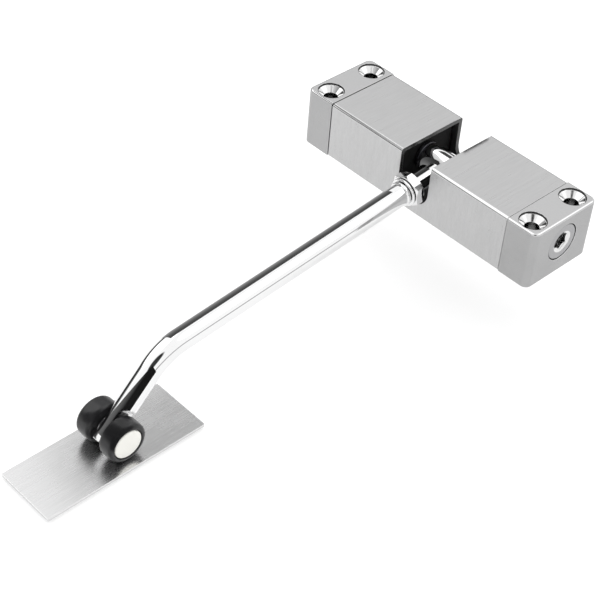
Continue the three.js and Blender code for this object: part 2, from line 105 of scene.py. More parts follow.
class CloserSizes(bpy.types.PropertyGroup):
    """Sizes that the frame's boxes don't give."""

    wall: length("Wall", "Thickness of the housing's sheet", 1.5)
    top_corner: length("Top corners", "Radius of the housing's two upper edges", 1.1)
    foot_corner: length("Foot corners", "Radius of the housing's two lower edges", 0.5)
    seam: length("Seam", "Gap between the housing and a cap", 0.2)
    slot_radius: length("Slot", "Half the width of the slot, and the radius of its bottom", 6.2)
    slot_centre: length("Slot height", "Height of the slot's bottom arc centre", 9.8)
    cut_edge: length("Cut edges", "Softness of a milled edge", 0.14)
    cap_corner: length("Cap corners", "Radius of a cap's upright outer corners", 2.2)
    cap_top: length("Cap top", "Radius round a cap's top", 0.8)
    screw_from_end: length("Screw holes from end", "From the housing's end to a screw hole", 5.65)
    screw_from_side: length("Screw holes from side", "From a cap's side to a screw hole", 5.05)
    screw_hole: length("Screw hole", "Radius of a screw hole", 2.25)
    sink: length("Countersink", "Radius of a countersink at the top", 4.3)
    sink_depth: length("Countersink depth", "Depth of a countersink", 2.3)
    screw_head: length("Cap screw head", "Radius of the head of a screw that holds a cap", 2.7)
    screw_head_depth: length("Cap screw head depth", "Depth of that head", 1.1)
    screw_shank: length("Cap screw", "Radius of that screw", 1.5)
    adjuster: length("Adjuster", "Radius of the tension adjuster's face", 6.0)
    adjuster_bore: length("Adjuster bore", "Radius of the hole it turns in", 6.25)
    key: length("Key", "Width across the flats of the hexagon socket", 5.0)
    key_depth: length("Key depth", "Depth of the hexagon socket", 6.0)
    key_lead: length("Key lead-in", "Radius of the cone at the socket's mouth", 3.7)
    coil: length("Spring coil", "Radius of the spring's centre line", 5.6)
    leg_hole: length("Leg hole", "Radius of the hole for the spring's outer leg", 1.3)
    shaft: length("Shaft", "Radius of the cross shaft", 3.5)
    clearance: length("Clearance", "Gap that neighbouring pieces keep", 0.3)
    pin: length("Hub pin", "Radius of the pin that fixes the hub to the shaft", 1.0)
    stud: length("Stud", "Radius of the hub's stud", 2.85)
    rod: length("Arm rod", "Radius of the arm", 3.57)
    collar: length("Collar", "Radius of the ring at the arm's start", 4.05)
    collar_length: length("Collar length", "Length of that ring", 1.1)
    bend_radius: length("Bend radius", "Radius of the bend's centre line", 18)
    tang: length("Tang", "Half the thickness of the flat end", 1.3)
    tang_length: length("Tang length", "From the axle to where the flats run out", 5)
    tang_run_out: length("Tang run-out", "Radius of that run-out", 3)
    tang_past_axle: length("Tang end", "How far the flat end reaches past the axle", 4.3)
    roller_edge: length("Roller edge", "Radius of a roller's edges", 1.25)
    bend_angle: bpy.props.FloatProperty(
        name="Bend", description="Angle of the arm's bend", default=math.radians(39.6), subtype="ANGLE")


class CloserColours(bpy.types.PropertyGroup):
    """Colours of the finishes."""

    brushed: colour("Brushed steel", "Housing", (0.56, 0.56, 0.562))
    plate: colour("Plate steel", "Wear plate", (0.76, 0.76, 0.762))
    # painted shade: the cut steel's near-black tone stands in for the dark that the slot's faces and the
    # countersinks' lips show
    cut: colour("Cut steel", "Milled faces of the slot", (0.09, 0.09, 0.09))
    cap: colour("Satin cap", "End caps", (0.43, 0.43, 0.432))
    machined: colour("Machined", "Countersinks and other cut surfaces", (0.80, 0.80, 0.80))
    chrome: colour("Chrome", "Arm, hub and nut", (0.93, 0.93, 0.932))
    plain: colour("Plain steel", "Turned steel pieces", (0.56, 0.56, 0.57))
    spring: colour("Spring steel", "Oil-blackened spring steel", (0.12, 0.12, 0.13))
    black: colour("Black plastic", "Bearing blocks", (0.012, 0.012, 0.012))
    rubber: colour("Rubber", "Rollers", (0.011, 0.011, 0.012))
    white: colour("White plastic", "Roller discs and cores", (0.92, 0.91, 0.86))
    foam: colour("Foam", "Pad under the wear plate", (0.72, 0.72, 0.70))
    floor: colour("Floor", "Floor under the object", (0.62, 0.62, 0.62))


# ---------------------------------------------------------------- shader nodes


def place(tree, kind, inputs=None, **settings):
    """A new shader node. An input given as a socket is linked, and any other value is set."""
    node = tree.nodes.new(kind)
    for name, value in settings.items():
        setattr(node, name, value)
    for key, value in (inputs or {}).items():
        if isinstance(value, bpy.types.NodeSocket):
            tree.links.new(value, node.inputs[key])
        else:
            node.inputs[key].default_value = value
    return node


def number(tree, operation, *values):
    """The result of a Math node."""
    return place(tree, "ShaderNodeMath", dict(enumerate(values)), operation=operation).outputs[0]


def spread(tree, value, low, high, new_low=0.0, new_high=1.0):
    """value moved from one range to another, held at the ends."""
    ranges = {"Value": value, "From Min": low, "From Max": high, "To Min": new_low, "To Max": new_high}
    return place(tree, "ShaderNodeMapRange", ranges).outputs["Result"]


def blend_colours(tree, share, first, second):
    """first where share is 0 and second where it is 1."""
    node = place(tree, "ShaderNodeMix", {"Factor": share}, data_type="RGBA")
    for key, value in ((6, first), (7, second)):
        if isinstance(value, bpy.types.NodeSocket):
            tree.links.new(value, node.inputs[key])
        else:
            node.inputs[key].default_value = (*value, 1)
    return node.outputs[2]


def new_group(name, inputs, outputs):
    """An empty node group with its named sockets, and its input and output nodes."""
    group = bpy.data.node_groups.new(name, "ShaderNodeTree")
    for socket_name, kind, default in inputs:
        socket = group.interface.new_socket(socket_name, in_out="INPUT", socket_type="NodeSocket" + kind)
        if default is not None:
            socket.default_value = default
    for socket_name, kind in outputs:
        group.interface.new_socket(socket_name, in_out="OUTPUT", socket_type="NodeSocket" + kind)
    start = group.nodes.new("NodeGroupInput")
    end = group.nodes.new("NodeGroupOutput")
    return group, start.outputs, end.inputs


def brushing_group():
    """Fine scratches that run one way: stretched noise, as a mask and as a height."""
    group, given, result = new_group(
        "Brushing",
        [("Coordinates", "Vector", None), ("Stretch", "Vector", (1, 1, 1)), ("Contrast", "Float", 1.0)],
        [("Streaks", "Float"), ("Height", "Float")])
    scaled = place(group, "ShaderNodeVectorMath", {0: given["Coordinates"], 1: given["Stretch"]},
                   operation="MULTIPLY").outputs[0]
    fine = place(group, "ShaderNodeTexNoise", {"Vector": scaled, "Scale": 1.0, "Detail": 3.0}).outputs[0]
    broad = place(group, "ShaderNodeTexNoise", {"Vector": scaled, "Scale": 0.22, "Detail": 2.0}).outputs[0]
    both = number(group, "ADD", number(group, "MULTIPLY", fine, 0.6), number(group, "MULTIPLY", broad, 0.4))
    centred = number(group, "SUBTRACT", both, 0.5)
    streaks = number(group, "ADD", number(group, "MULTIPLY", centred, given["Contrast"]), 0.5)
    group.links.new(streaks, result["Streaks"])
    group.links.new(both, result["Height"])
    return group


def handling_group():
    """Soft patches from handling: where the surface is a little duller."""
    group, given, result = new_group(
        "Handling", [("Coordinates", "Vector", None), ("Scale", "Float", 90.0)], [("Patches", "Float")])
    cloud = place(group, "ShaderNodeTexNoise", {
        "Vector": given["Coordinates"], "Scale": given["Scale"], "Detail": 4.0, "Roughness": 0.6}).outputs[0]
    group.links.new(spread(group, cloud, 0.42, 0.66), result["Patches"])
    return group


def edge_highlight_group():
    """Where the surface turns sharply: the mask of a painted highlight along the edges."""
    group, given, result = new_group("Painted edge highlight", [("Width", "Float", 0.0003)], [("Edges", "Float")])
    rounded = place(group, "ShaderNodeBevel", {"Radius": given["Width"]}, samples=6).outputs[0]
    true_normal = place(group, "ShaderNodeNewGeometry").outputs["Normal"]
    same = place(group, "ShaderNodeVectorMath", {0: rounded, 1: true_normal},
                 operation="DOT_PRODUCT").outputs["Value"]
    group.links.new(spread(group, number(group, "SUBTRACT", 1.0, same), 0.02, 0.16), result["Edges"])
    return group


def turning_group():
    """Concentric tool marks round an axis that runs along X."""
    group, given, result = new_group(
        "Turning",
        [("Coordinates", "Vector", None), ("Centre", "Vector", (0, 0, 0)), ("Pitch", "Float", 0.0001)],
        [("Rings", "Float")])
    offset = place(group, "ShaderNodeVectorMath", {0: given["Coordinates"], 1: given["Centre"]},
                   operation="SUBTRACT").outputs[0]
    split = place(group, "ShaderNodeSeparateXYZ", {0: offset}).outputs
    y_squared = number(group, "POWER", split["Y"], 2.0)
    z_squared = number(group, "POWER", split["Z"], 2.0)
    squares = number(group, "ADD", y_squared, z_squared)
    radius = number(group, "SQRT", squares)
    along = number(group, "ADD", radius, split["X"])
    place_on_axis = place(group, "ShaderNodeCombineXYZ", {0: number(group, "DIVIDE", along, given["Pitch"])})
    marks = place(group, "ShaderNodeTexNoise", {
        "Vector": place_on_axis.outputs[0], "Scale": 0.6, "Detail": 2.0})
    group.links.new(marks.outputs[0], result["Rings"])
    return group


def rounding_highlight_group():
    """Where the surface turns down from the top: roundings, which the finishes make glossier and paint
    brighter as a highlight.
    """
    group, given, result = new_group("Painted rounding highlight", [("Normal", "Vector", None)], [("Rounded", "Float")])
    parts = place(group, "ShaderNodeSeparateXYZ", {0: given["Normal"]}).outputs
    sideways = number(group, "MAXIMUM", parts["X"], number(group, "ABSOLUTE", parts["Y"]))
    turned_down = number(group, "MINIMUM", parts["Z"], sideways)
    group.links.new(spread(group, turned_down, 0.1, 0.34), result["Rounded"])
    return group


GROUPS = {}


def group_node(tree, name, **inputs):
    """A shared group placed in a material with its own values."""
    makers = {
        "Brushing": brushing_group,
        "Handling": handling_group,
        "Painted edge highlight": edge_highlight_group,
        "Turning": turning_group,
        "Painted rounding highlight": rounding_highlight_group,
    }
    if name not in GROUPS:
        GROUPS[name] = makers[name]()
    node = tree.nodes.new("ShaderNodeGroup")
    node.node_tree = GROUPS[name]
    for key, value in inputs.items():
        key = key.replace("_", " ").capitalize()
        if isinstance(value, bpy.types.NodeSocket):
            tree.links.new(value, node.inputs[key])
        else:
            node.inputs[key].default_value = value
    return node.outputs


# ---------------------------------------------------------------- materials


class Finish:
    """A material under way: its tree, its shader and the coordinates of its patterns."""

    def __init__(self, name, metallic=0.0):
        self.material = bpy.data.materials.new(name)
        self.material.use_nodes = True
        self.tree = self.material.node_tree
        self.shader = self.tree.nodes["Principled BSDF"]
        self.shader.inputs["Metallic"].default_value = metallic
        given = place(self.tree, "ShaderNodeTexCoord").outputs
        self.coordinates = given["Object"]
        self.normal = given["Normal"]

    def paint(self, colour_socket, roughness_socket):
        self.tree.links.new(colour_socket, self.shader.inputs["Base Color"])
        self.tree.links.new(roughness_socket, self.shader.inputs["Roughness"])

    def raise_surface(self, height, distance):
        bump = place(self.tree, "ShaderNodeBump", {"Height": height, "Distance": distance, "Strength": 1.0})
        self.tree.links.new(bump.outputs[0], self.shader.inputs["Normal"])


def shade(value, factor):
    """A colour made lighter or darker."""
    return tuple(min(1.0, part * factor) for part in value)


def brushed_metal(name, base, stretch, roughness, contrast=1.0, depth=0.0000025):
    """Steel rubbed one way, with a few dull patches, glossier roundings, and a painted highlight on its edges
    and roundings.
    """
    finish = Finish(name, metallic=1.0)
    tree = finish.tree
    marks = group_node(tree, "Brushing", coordinates=finish.coordinates, stretch=stretch, contrast=contrast)
    patches = group_node(tree, "Handling", coordinates=finish.coordinates)["Patches"]
    edges = group_node(tree, "Painted edge highlight", width=0.00025)["Edges"]
    share = spread(tree, marks["Streaks"], 0.25, 0.75)
    streaked = blend_colours(tree, share, shade(base, 0.90), shade(base, 1.08))
    # painted highlight: the edges are painted brighter than the steel
    edge_highlit = blend_colours(tree, number(tree, "MULTIPLY", edges, 0.7), streaked, shade(base, 1.45))
    dull = spread(tree, marks["Streaks"], 0.2, 0.8, roughness - 0.05, roughness + 0.06)
    dulled = number(tree, "ADD", dull, number(tree, "MULTIPLY", patches, 0.035))
    lengthwise = place(tree, "ShaderNodeVectorMath", {0: finish.normal, 1: (0, 1, 1)}, operation="MULTIPLY")
    highlit_roundings = group_node(tree, "Painted rounding highlight", normal=lengthwise.outputs[0])["Rounded"]
    # painted highlight: the roundings are painted brighter still, and made glossier
    finish.paint(
        blend_colours(tree, number(tree, "MULTIPLY", highlit_roundings, 0.5), edge_highlit, shade(base, 1.5)),
        spread(tree, highlit_roundings, 0.0, 1.0, dulled, 0.10))
    finish.raise_surface(marks["Height"], depth)
    return finish.material


def housing_steel(colours):
    """The housing's sheet, brushed across its length."""
    return brushed_metal("housing_steel", colours.brushed, (5200, 160, 900), 0.29)


def plate_steel(colours):
    """The wear plate, brushed along its length."""
    return brushed_metal("plate_steel", colours.plate, (5200, 120, 900), 0.25, 0.6, 0.0000012)


def cap_metal(colours):
    """The caps: satin, with a very fine grain, painted lighter on top as lit, and a painted highlight on
    edges and roundings.
    """
    finish = Finish("cap_metal", metallic=1.0)
    tree = finish.tree
    grain = place(tree, "ShaderNodeTexNoise", {
        "Vector": finish.coordinates, "Scale": 5200.0, "Detail": 2.0}).outputs[0]
    patches = group_node(tree, "Handling", coordinates=finish.coordinates, scale=70.0)["Patches"]
    edges = group_node(tree, "Painted edge highlight", width=0.0003)["Edges"]
    base = colours.cap
    clouded = blend_colours(tree, patches, shade(base, 1.03), shade(base, 0.97))
    # painted light: faces that look up are painted lighter, as a lit top
    upward = place(tree, "ShaderNodeSeparateXYZ", {0: place(tree, "ShaderNodeNewGeometry").outputs["Normal"]})
    lit_top = blend_colours(tree, spread(tree, upward.outputs["Z"], 0.6, 0.95), clouded, shade(base, 1.31))
    end = number(tree, "SIGN", place(tree, "ShaderNodeSeparateXYZ", {0: finish.coordinates}).outputs["X"])
    turn = place(tree, "ShaderNodeCombineXYZ", {0: end, 1: 1.0, 2: 1.0}).outputs[0]
    outward = place(tree, "ShaderNodeVectorMath", {0: finish.normal, 1: turn}, operation="MULTIPLY")
    highlit_roundings = group_node(tree, "Painted rounding highlight", normal=outward.outputs[0])["Rounded"]
    # painted highlight: edges and roundings are painted brighter
    rubbed = [number(tree, "MULTIPLY", mask, 0.6) for mask in (edges, highlit_roundings)]
    bright = number(tree, "MAXIMUM", *rubbed)
    finish.paint(
        blend_colours(tree, bright, lit_top, shade(base, 1.9)),
        spread(tree, highlit_roundings, 0.0, 1.0, spread(tree, grain, 0.3, 0.7, 0.27, 0.36), 0.10))
    finish.raise_surface(grain, 0.000002)
    return finish.material


def machined_metal(colours):
    """Cut and polished surfaces of the countersinks and the socket."""
    finish = Finish("machined_metal", metallic=1.0)
    tree = finish.tree
    rings = place(tree, "ShaderNodeTexNoise", {
        "Vector": finish.coordinates, "Scale": 1400.0, "Detail": 1.0}).outputs[0]
    base = colours.machined
    finish.paint(
        blend_colours(tree, rings, shade(base, 0.94), shade(base, 1.06)),
        spread(tree, rings, 0.3, 0.7, 0.07, 0.14))
    return finish.material


def shade_painted_steel(colours):
    """Milled faces of the slot: dull, painted near black as shade, with a painted highlight on their edges.
    """
    finish = Finish("shade_painted_steel", metallic=1.0)
    tree = finish.tree
    marks = group_node(
        tree, "Brushing", coordinates=finish.coordinates, stretch=(900, 5200, 900), contrast=1.4)
    edges = group_node(tree, "Painted edge highlight", width=0.0002)["Edges"]
    # painted shade: the near-black base stands in for the dark that these faces show
    base = colours.cut
    streaked = blend_colours(tree, marks["Streaks"], shade(base, 0.7), shade(base, 1.3))
    # painted highlight: the edges are painted six times brighter
    finish.paint(
        blend_colours(tree, edges, streaked, shade(base, 6.0)),
        spread(tree, marks["Streaks"], 0.2, 0.8, 0.22, 0.34))
    finish.raise_surface(marks["Height"], 0.000004)
    return finish.material


def chrome_plating(colours):
    """Bright plating with faint handling marks, a faint painted highlight on edges and a hint of waviness."""
    finish = Finish("chrome_plating", metallic=1.0)
    tree = finish.tree
    patches = group_node(tree, "Handling", coordinates=finish.coordinates, scale=60.0)["Patches"]
    draw = group_node(tree, "Brushing", coordinates=finish.coordinates, stretch=(900, 40, 900), contrast=1.0)
    edges = group_node(tree, "Painted edge highlight", width=0.0002)["Edges"]
    base = colours.chrome
    clouded = blend_colours(tree, patches, shade(base, 1.0), shade(base, 0.965))
    # painted highlight: edges are painted a little brighter
    finish.paint(
        blend_colours(tree, number(tree, "MULTIPLY", edges, 0.4), clouded, shade(base, 1.1)),
        spread(tree, patches, 0.0, 1.0, 0.045, 0.085))
    finish.raise_surface(draw["Height"], 0.000004)
    return finish.material


def adjuster_steel(colours):
    """The adjuster's satin face."""
    return turned_steel(colours, "adjuster_steel", SHAFT, shade(colours.plain, 0.72), 0.32)


def turned_steel(colours, name="turned_steel", centre=SHAFT, base=None, roughness=0.26):
    """Turned steel with concentric tool marks and a painted highlight on its edges."""
    finish = Finish(name, metallic=1.0)
    tree = finish.tree
    rings = group_node(tree, "Turning", coordinates=finish.coordinates, centre=centre, pitch=0.00012)["Rings"]
    edges = group_node(tree, "Painted edge highlight", width=0.0002)["Edges"]
    base = base or colours.plain
    ringed = blend_colours(tree, rings, shade(base, 0.86), shade(base, 1.12))
    # painted highlight: edges are painted brighter
    finish.paint(
        blend_colours(tree, number(tree, "MULTIPLY", edges, 0.6), ringed, shade(base, 1.5)),
        spread(tree, rings, 0.3, 0.7, roughness - 0.06, roughness + 0.06))
    finish.raise_surface(rings, 0.000004)
    return finish.material


def spring_steel(colours):
    """Oil-blackened spring steel, rubbed lighter in places."""
    finish = Finish("spring_steel", metallic=1.0)
    tree = finish.tree
    patches = group_node(tree, "Handling", coordinates=finish.coordinates, scale=260.0)["Patches"]
    base = colours.spring
    finish.paint(
        blend_colours(tree, patches, shade(base, 0.9), shade(base, 1.9)),
        spread(tree, patches, 0.0, 1.0, 0.32, 0.46))
    return finish.material


def moulded(name, base, low_roughness, high_roughness, grain_scale, grain_depth, fleck):
    """A moulded plastic, rubber or foam with a fine grain."""
    finish = Finish(name)
    tree = finish.tree
    grain = place(tree, "ShaderNodeTexNoise", {
        "Vector": finish.coordinates, "Scale": grain_scale, "Detail": 3.0}).outputs[0]
    patches = group_node(tree, "Handling", coordinates=finish.coordinates, scale=150.0)["Patches"]
    finish.paint(
        blend_colours(tree, patches, base, shade(base, fleck)),
        spread(tree, grain, 0.3, 0.7, low_roughness, high_roughness))
    finish.raise_surface(grain, grain_depth)
    return finish.material


def black_plastic(colours):
    """The bearing blocks' matt black plastic."""
    made = moulded("black_plastic", colours.black, 0.6, 0.75, 3000.0, 0.000006, 1.8)
    made.node_tree.nodes["Principled BSDF"].inputs["Specular IOR Level"].default_value = 0.15
    return made


def roller_rubber(colours):
    """The rollers' satin rubber."""
    return moulded("roller_rubber", colours.rubber, 0.30, 0.42, 2600.0, 0.000008, 1.9)


def white_plastic(colours):
    """The off-white plastic of the roller discs."""
    return moulded("white_plastic", colours.white, 0.34, 0.44, 1800.0, 0.000003, 0.97)


def foam(colours):
    """The open-celled foam of the adhesive pad."""
    finish = Finish("foam")
    tree = finish.tree
    cells = place(tree, "ShaderNodeTexVoronoi", {
        "Vector": finish.coordinates, "Scale": 2600.0}).outputs["Distance"]
    base = colours.foam
    finish.paint(
        blend_colours(tree, spread(tree, cells, 0.1, 0.7), shade(base, 0.8), base),
        spread(tree, cells, 0.0, 1.0, 0.8, 0.95))
    finish.raise_surface(cells, 0.00004)
    return finish.material


FINISHES = {}


def finish_of(maker):
    """A finish, made the first time that a piece asks for it."""
    if maker not in FINISHES:
        FINISHES[maker] = maker(bpy.context.scene.closer_colours)
    return FINISHES[maker]


# ---------------------------------------------------------------- mesh helpers


def rounded(corners, steps=5):
    """A closed outline whose corners (u, v, radius) are rounded by arcs."""
    points = []
    for index, (u, v, radius) in enumerate(corners):
        here = Vector((u, v))
        to_last = (Vector(corners[index - 1][:2]) - here).normalized()
        to_next = (Vector(corners[(index + 1) % len(corners)][:2]) - here).normalized()
        if radius <= 0:
            points.append(here)
            continue
        half_angle = to_last.angle(to_next) / 2
        centre = here + (to_last + to_next).normalized() * (radius / math.sin(half_angle))
        touch = radius / math.tan(half_angle)
        first = here + to_last * touch - centre
        turn = first.angle_signed(here + to_next * touch - centre)
        for step in range(steps + 1):
            angle = -turn * step / steps
            points.append(centre + Matrix.Rotation(angle, 2) @ first)
    return points


def arc_points(centre, radius, start, end, steps):
    """Points round a circle in a plane, angles in degrees."""
    angles = [math.radians(start + (end - start) * step / steps) for step in range(steps + 1)]
    return [Vector((centre[0] + radius * math.cos(a), centre[1] + radius * math.sin(a))) for a in angles]


def arc_pairs(centre, radius, start, end, steps):
    """The points of an arc as pairs for a turned profile."""
    return [(point.x, point.y) for point in arc_points(centre, radius, start, end, steps)]


def rounded_box(low_u, high_u, low_v, high_v, radius, steps=5):
    """A rectangle's outline with rounded corners."""
    return rounded([
        (high_u, high_v, radius), (low_u, high_v, radius),
        (low_u, low_v, radius), (high_u, low_v, radius)], steps)


def plane_frame(direction):
    """Two directions square to the given one."""
    side = ACROSS if abs(direction.dot(ACROSS)) < 0.9 else Vector((0, 1, 0))
    second = direction.cross(side).normalized()
    return second.cross(direction).normalized(), second


def bridge(mesh, first, second):
    """Faces between two closed rings, either of which may be a single point."""
    count = max(len(first), len(second))
    for index in range(count):
        after = (index + 1) % count
        corners = [first[index % len(first)], first[after % len(first)],
                   second[after % len(second)], second[index % len(second)]]
        unique = list(dict.fromkeys(corners))
        if len(unique) > 2:
            mesh.faces.new(unique)


def rings_mesh(rings, closed=False):
    """A mesh through rings of points. A ring of one point is a pole."""
    mesh = bmesh.new()
    made = [[mesh.verts.new(point) for point in ring] for ring in rings]
    for first, second in zip(made, made[1:]):
        bridge(mesh, first, second)
    if closed:
        bridge(mesh, made[-1], made[0])
    else:
        for ring in (made[0], made[-1]):
            if len(ring) > 2:
                mesh.faces.new(ring)
    return mesh


def turned(profile, origin, direction, sides=96, closed=False):
    """A turned mesh. The profile's points are (distance along the axis, radius)."""
    first, second = plane_frame(direction)
    rings = []
    for along, radius in profile:
        centre = origin + direction * along
        if radius < 1e-9:
            rings.append([centre])
            continue
        angles = [2 * math.pi * side / sides for side in range(sides)]
        rings.append([centre + (first * math.cos(a) + second * math.sin(a)) * radius for a in angles])
    return rings_mesh(rings, closed)


def prism(outline, origin, u_axis, v_axis, low, high):
    """An outline in the plane of two axes, carried along the third from low to high."""
    along = u_axis.cross(v_axis)
    flat = [origin + u_axis * u + v_axis * v for u, v in outline]
    return rings_mesh([[point + along * low for point in flat], [point + along * high for point in flat]])


def piece(name, mesh, material):
    """A new object from a mesh under way."""
    bmesh.ops.recalc_face_normals(mesh, faces=mesh.faces)
    data = bpy.data.meshes.new(name)
    mesh.to_mesh(data)
    mesh.free()
    data.materials.append(material)
    made = bpy.data.objects.new(name, data)
    bpy.context.scene.collection.objects.link(made)
    return made


def drill(start, end, radius, origin, direction, sides, material):
    """A round cutting tool, from start to end along a direction."""
    profile = [(start, 0), (start, radius), (end, radius), (end, 0)]
    return piece("tool", turned(profile, origin, direction, sides), material)


def settle(made, sharp_over=32.0):
    """Applies the modifiers, and shades the result smooth between its sharp edges."""
    graph = bpy.context.evaluated_depsgraph_get()
    data = bpy.data.meshes.new_from_object(made.evaluated_get(graph), depsgraph=graph)
    made.modifiers.clear()
    old = made.data
    made.data = data
    name = old.name
    bpy.data.meshes.remove(old)
    data.name = name
    data.shade_smooth()
    data.set_sharp_from_angle(angle=math.radians(sharp_over))
    return made


def combine(made, operation, *others):
    """Cuts the others out of a piece or joins them to it, and keeps the finish of what cut."""
    for other in others:
        modifier = made.modifiers.new(operation, "BOOLEAN")
        modifier.operation = operation
        modifier.object = other
        modifier.solver = "EXACT"
        modifier.material_mode = "TRANSFER"
        settle(made)
    for other in others:
        data = other.data
        bpy.data.objects.remove(other)
        bpy.data.meshes.remove(data)
    return made


def soften(made, width, segments=3, angle=40.0):
    """Rounds the sharp edges, and keeps flat faces flat in the light."""
    mesh = bmesh.new()
    mesh.from_mesh(made.data)
    bmesh.ops.remove_doubles(mesh, verts=mesh.verts, dist=0.002 * MM)
    bmesh.ops.dissolve_limit(
        mesh, angle_limit=math.radians(0.5), verts=mesh.verts, edges=mesh.edges, delimit={"MATERIAL"})
    mesh.to_mesh(made.data)
    mesh.free()
    bevel = made.modifiers.new("Soft edges", "BEVEL")
    bevel.width = width
    bevel.segments = segments
    bevel.limit_method = "ANGLE"
    bevel.angle_limit = math.radians(angle)
    bevel.use_clamp_overlap = False
    bevel.miter_outer = "MITER_ARC"
    settle(made, sharp_over=50.0)
    weighted = made.modifiers.new("Flat faces", "WEIGHTED_NORMAL")
    weighted.keep_sharp = True
    return made


def stand_for(made, body, slot, *nodes):
    """The piece rides on its body and stands for its CAD nodes, which are hidden. The slot is not used."""
    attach(made, body)
    if nodes:
        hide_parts(*nodes)
    return made


def dress(node, material):
    """Gives a CAD node its finish, and shades it smooth between its sharp edges."""
    made = frame["nodes"][node]
    made.data.materials.clear()
    made.data.materials.append(material)
    made.data.shade_smooth()
    made.data.set_sharp_from_angle(angle=math.radians(32))
    return made


# ---------------------------------------------------------------- housing and caps


FLANGE = 3 * MM             # thickness of the adjuster's flange
FLANGE_POCKET = 3.3 * MM    # depth of its space in the cap
LEG_HOLE_ROOF = 0.6 * MM    # metal left over the hole for the spring's outer leg


def cap_screw_hole(sizes, node, material):
    """A tool for the hole of a screw that holds a cap to the housing, from the back."""
    low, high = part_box(node)
    head = sizes.screw_head + sizes.clearance
    shank = sizes.screw_shank + sizes.clearance
    depth = high.z + sizes.clearance
    profile = [
        (-BEYOND, 0), (-BEYOND, head), (0, head), (sizes.screw_head_depth, shank), (depth, shank), (depth, 0)]
    centre = (low + high) / 2
    return piece("tool", turned(profile, Vector((centre.x, centre.y, 0)), UP, 40), material)


class BuildHousing(bpy.types.Operator):
    """Square tube with the slot milled across its middle"""

    bl_idname = "closer.housing"
    bl_label = "Housing"

    def execute(self, context):
        sizes = context.scene.closer_sizes
        steel = finish_of(housing_steel)
        half_width = TUBE_HIGH.y
        top = TUBE_HIGH.z
        upper, lower, wall = sizes.top_corner, sizes.foot_corner, sizes.wall
        outside = rounded([
            (half_width, top, upper), (-half_width, top, upper),
            (-half_width, 0, lower), (half_width, 0, lower)])
        inner = half_width - wall
        inside = rounded_box(-inner, inner, wall, top - wall, lower)
        tube_shape = prism(outside, ORIGIN, AWAY_FROM_DOOR, UP, TUBE_LOW.x, TUBE_HIGH.x)
        tube = piece("housing", tube_shape, steel)
        hollow = piece("hollow", prism(inside, ORIGIN, AWAY_FROM_DOOR, UP, -FAR, FAR), steel)
        radius, centre = sizes.slot_radius, sizes.slot_centre
        slot_outline = arc_points((0, centre), radius, 180, 360, 40)
        slot_outline += [Vector((radius, FAR)), Vector((-radius, FAR))]
        # painted shade: the slot's faces take the near-black finish
        slot = piece("slot", prism(slot_outline, ORIGIN, ACROSS, UP, -FAR, FAR), finish_of(shade_painted_steel))
        holes = [cap_screw_hole(sizes, node, steel) for node in ("right_cap_screw", "left_cap_screw")]
        combine(tube, "DIFFERENCE", hollow, slot, *holes)
        soften(tube, sizes.cut_edge)
        stand_for(tube, "housing", "brushed_steel", "housing_tube")
        return {"FINISHED"}


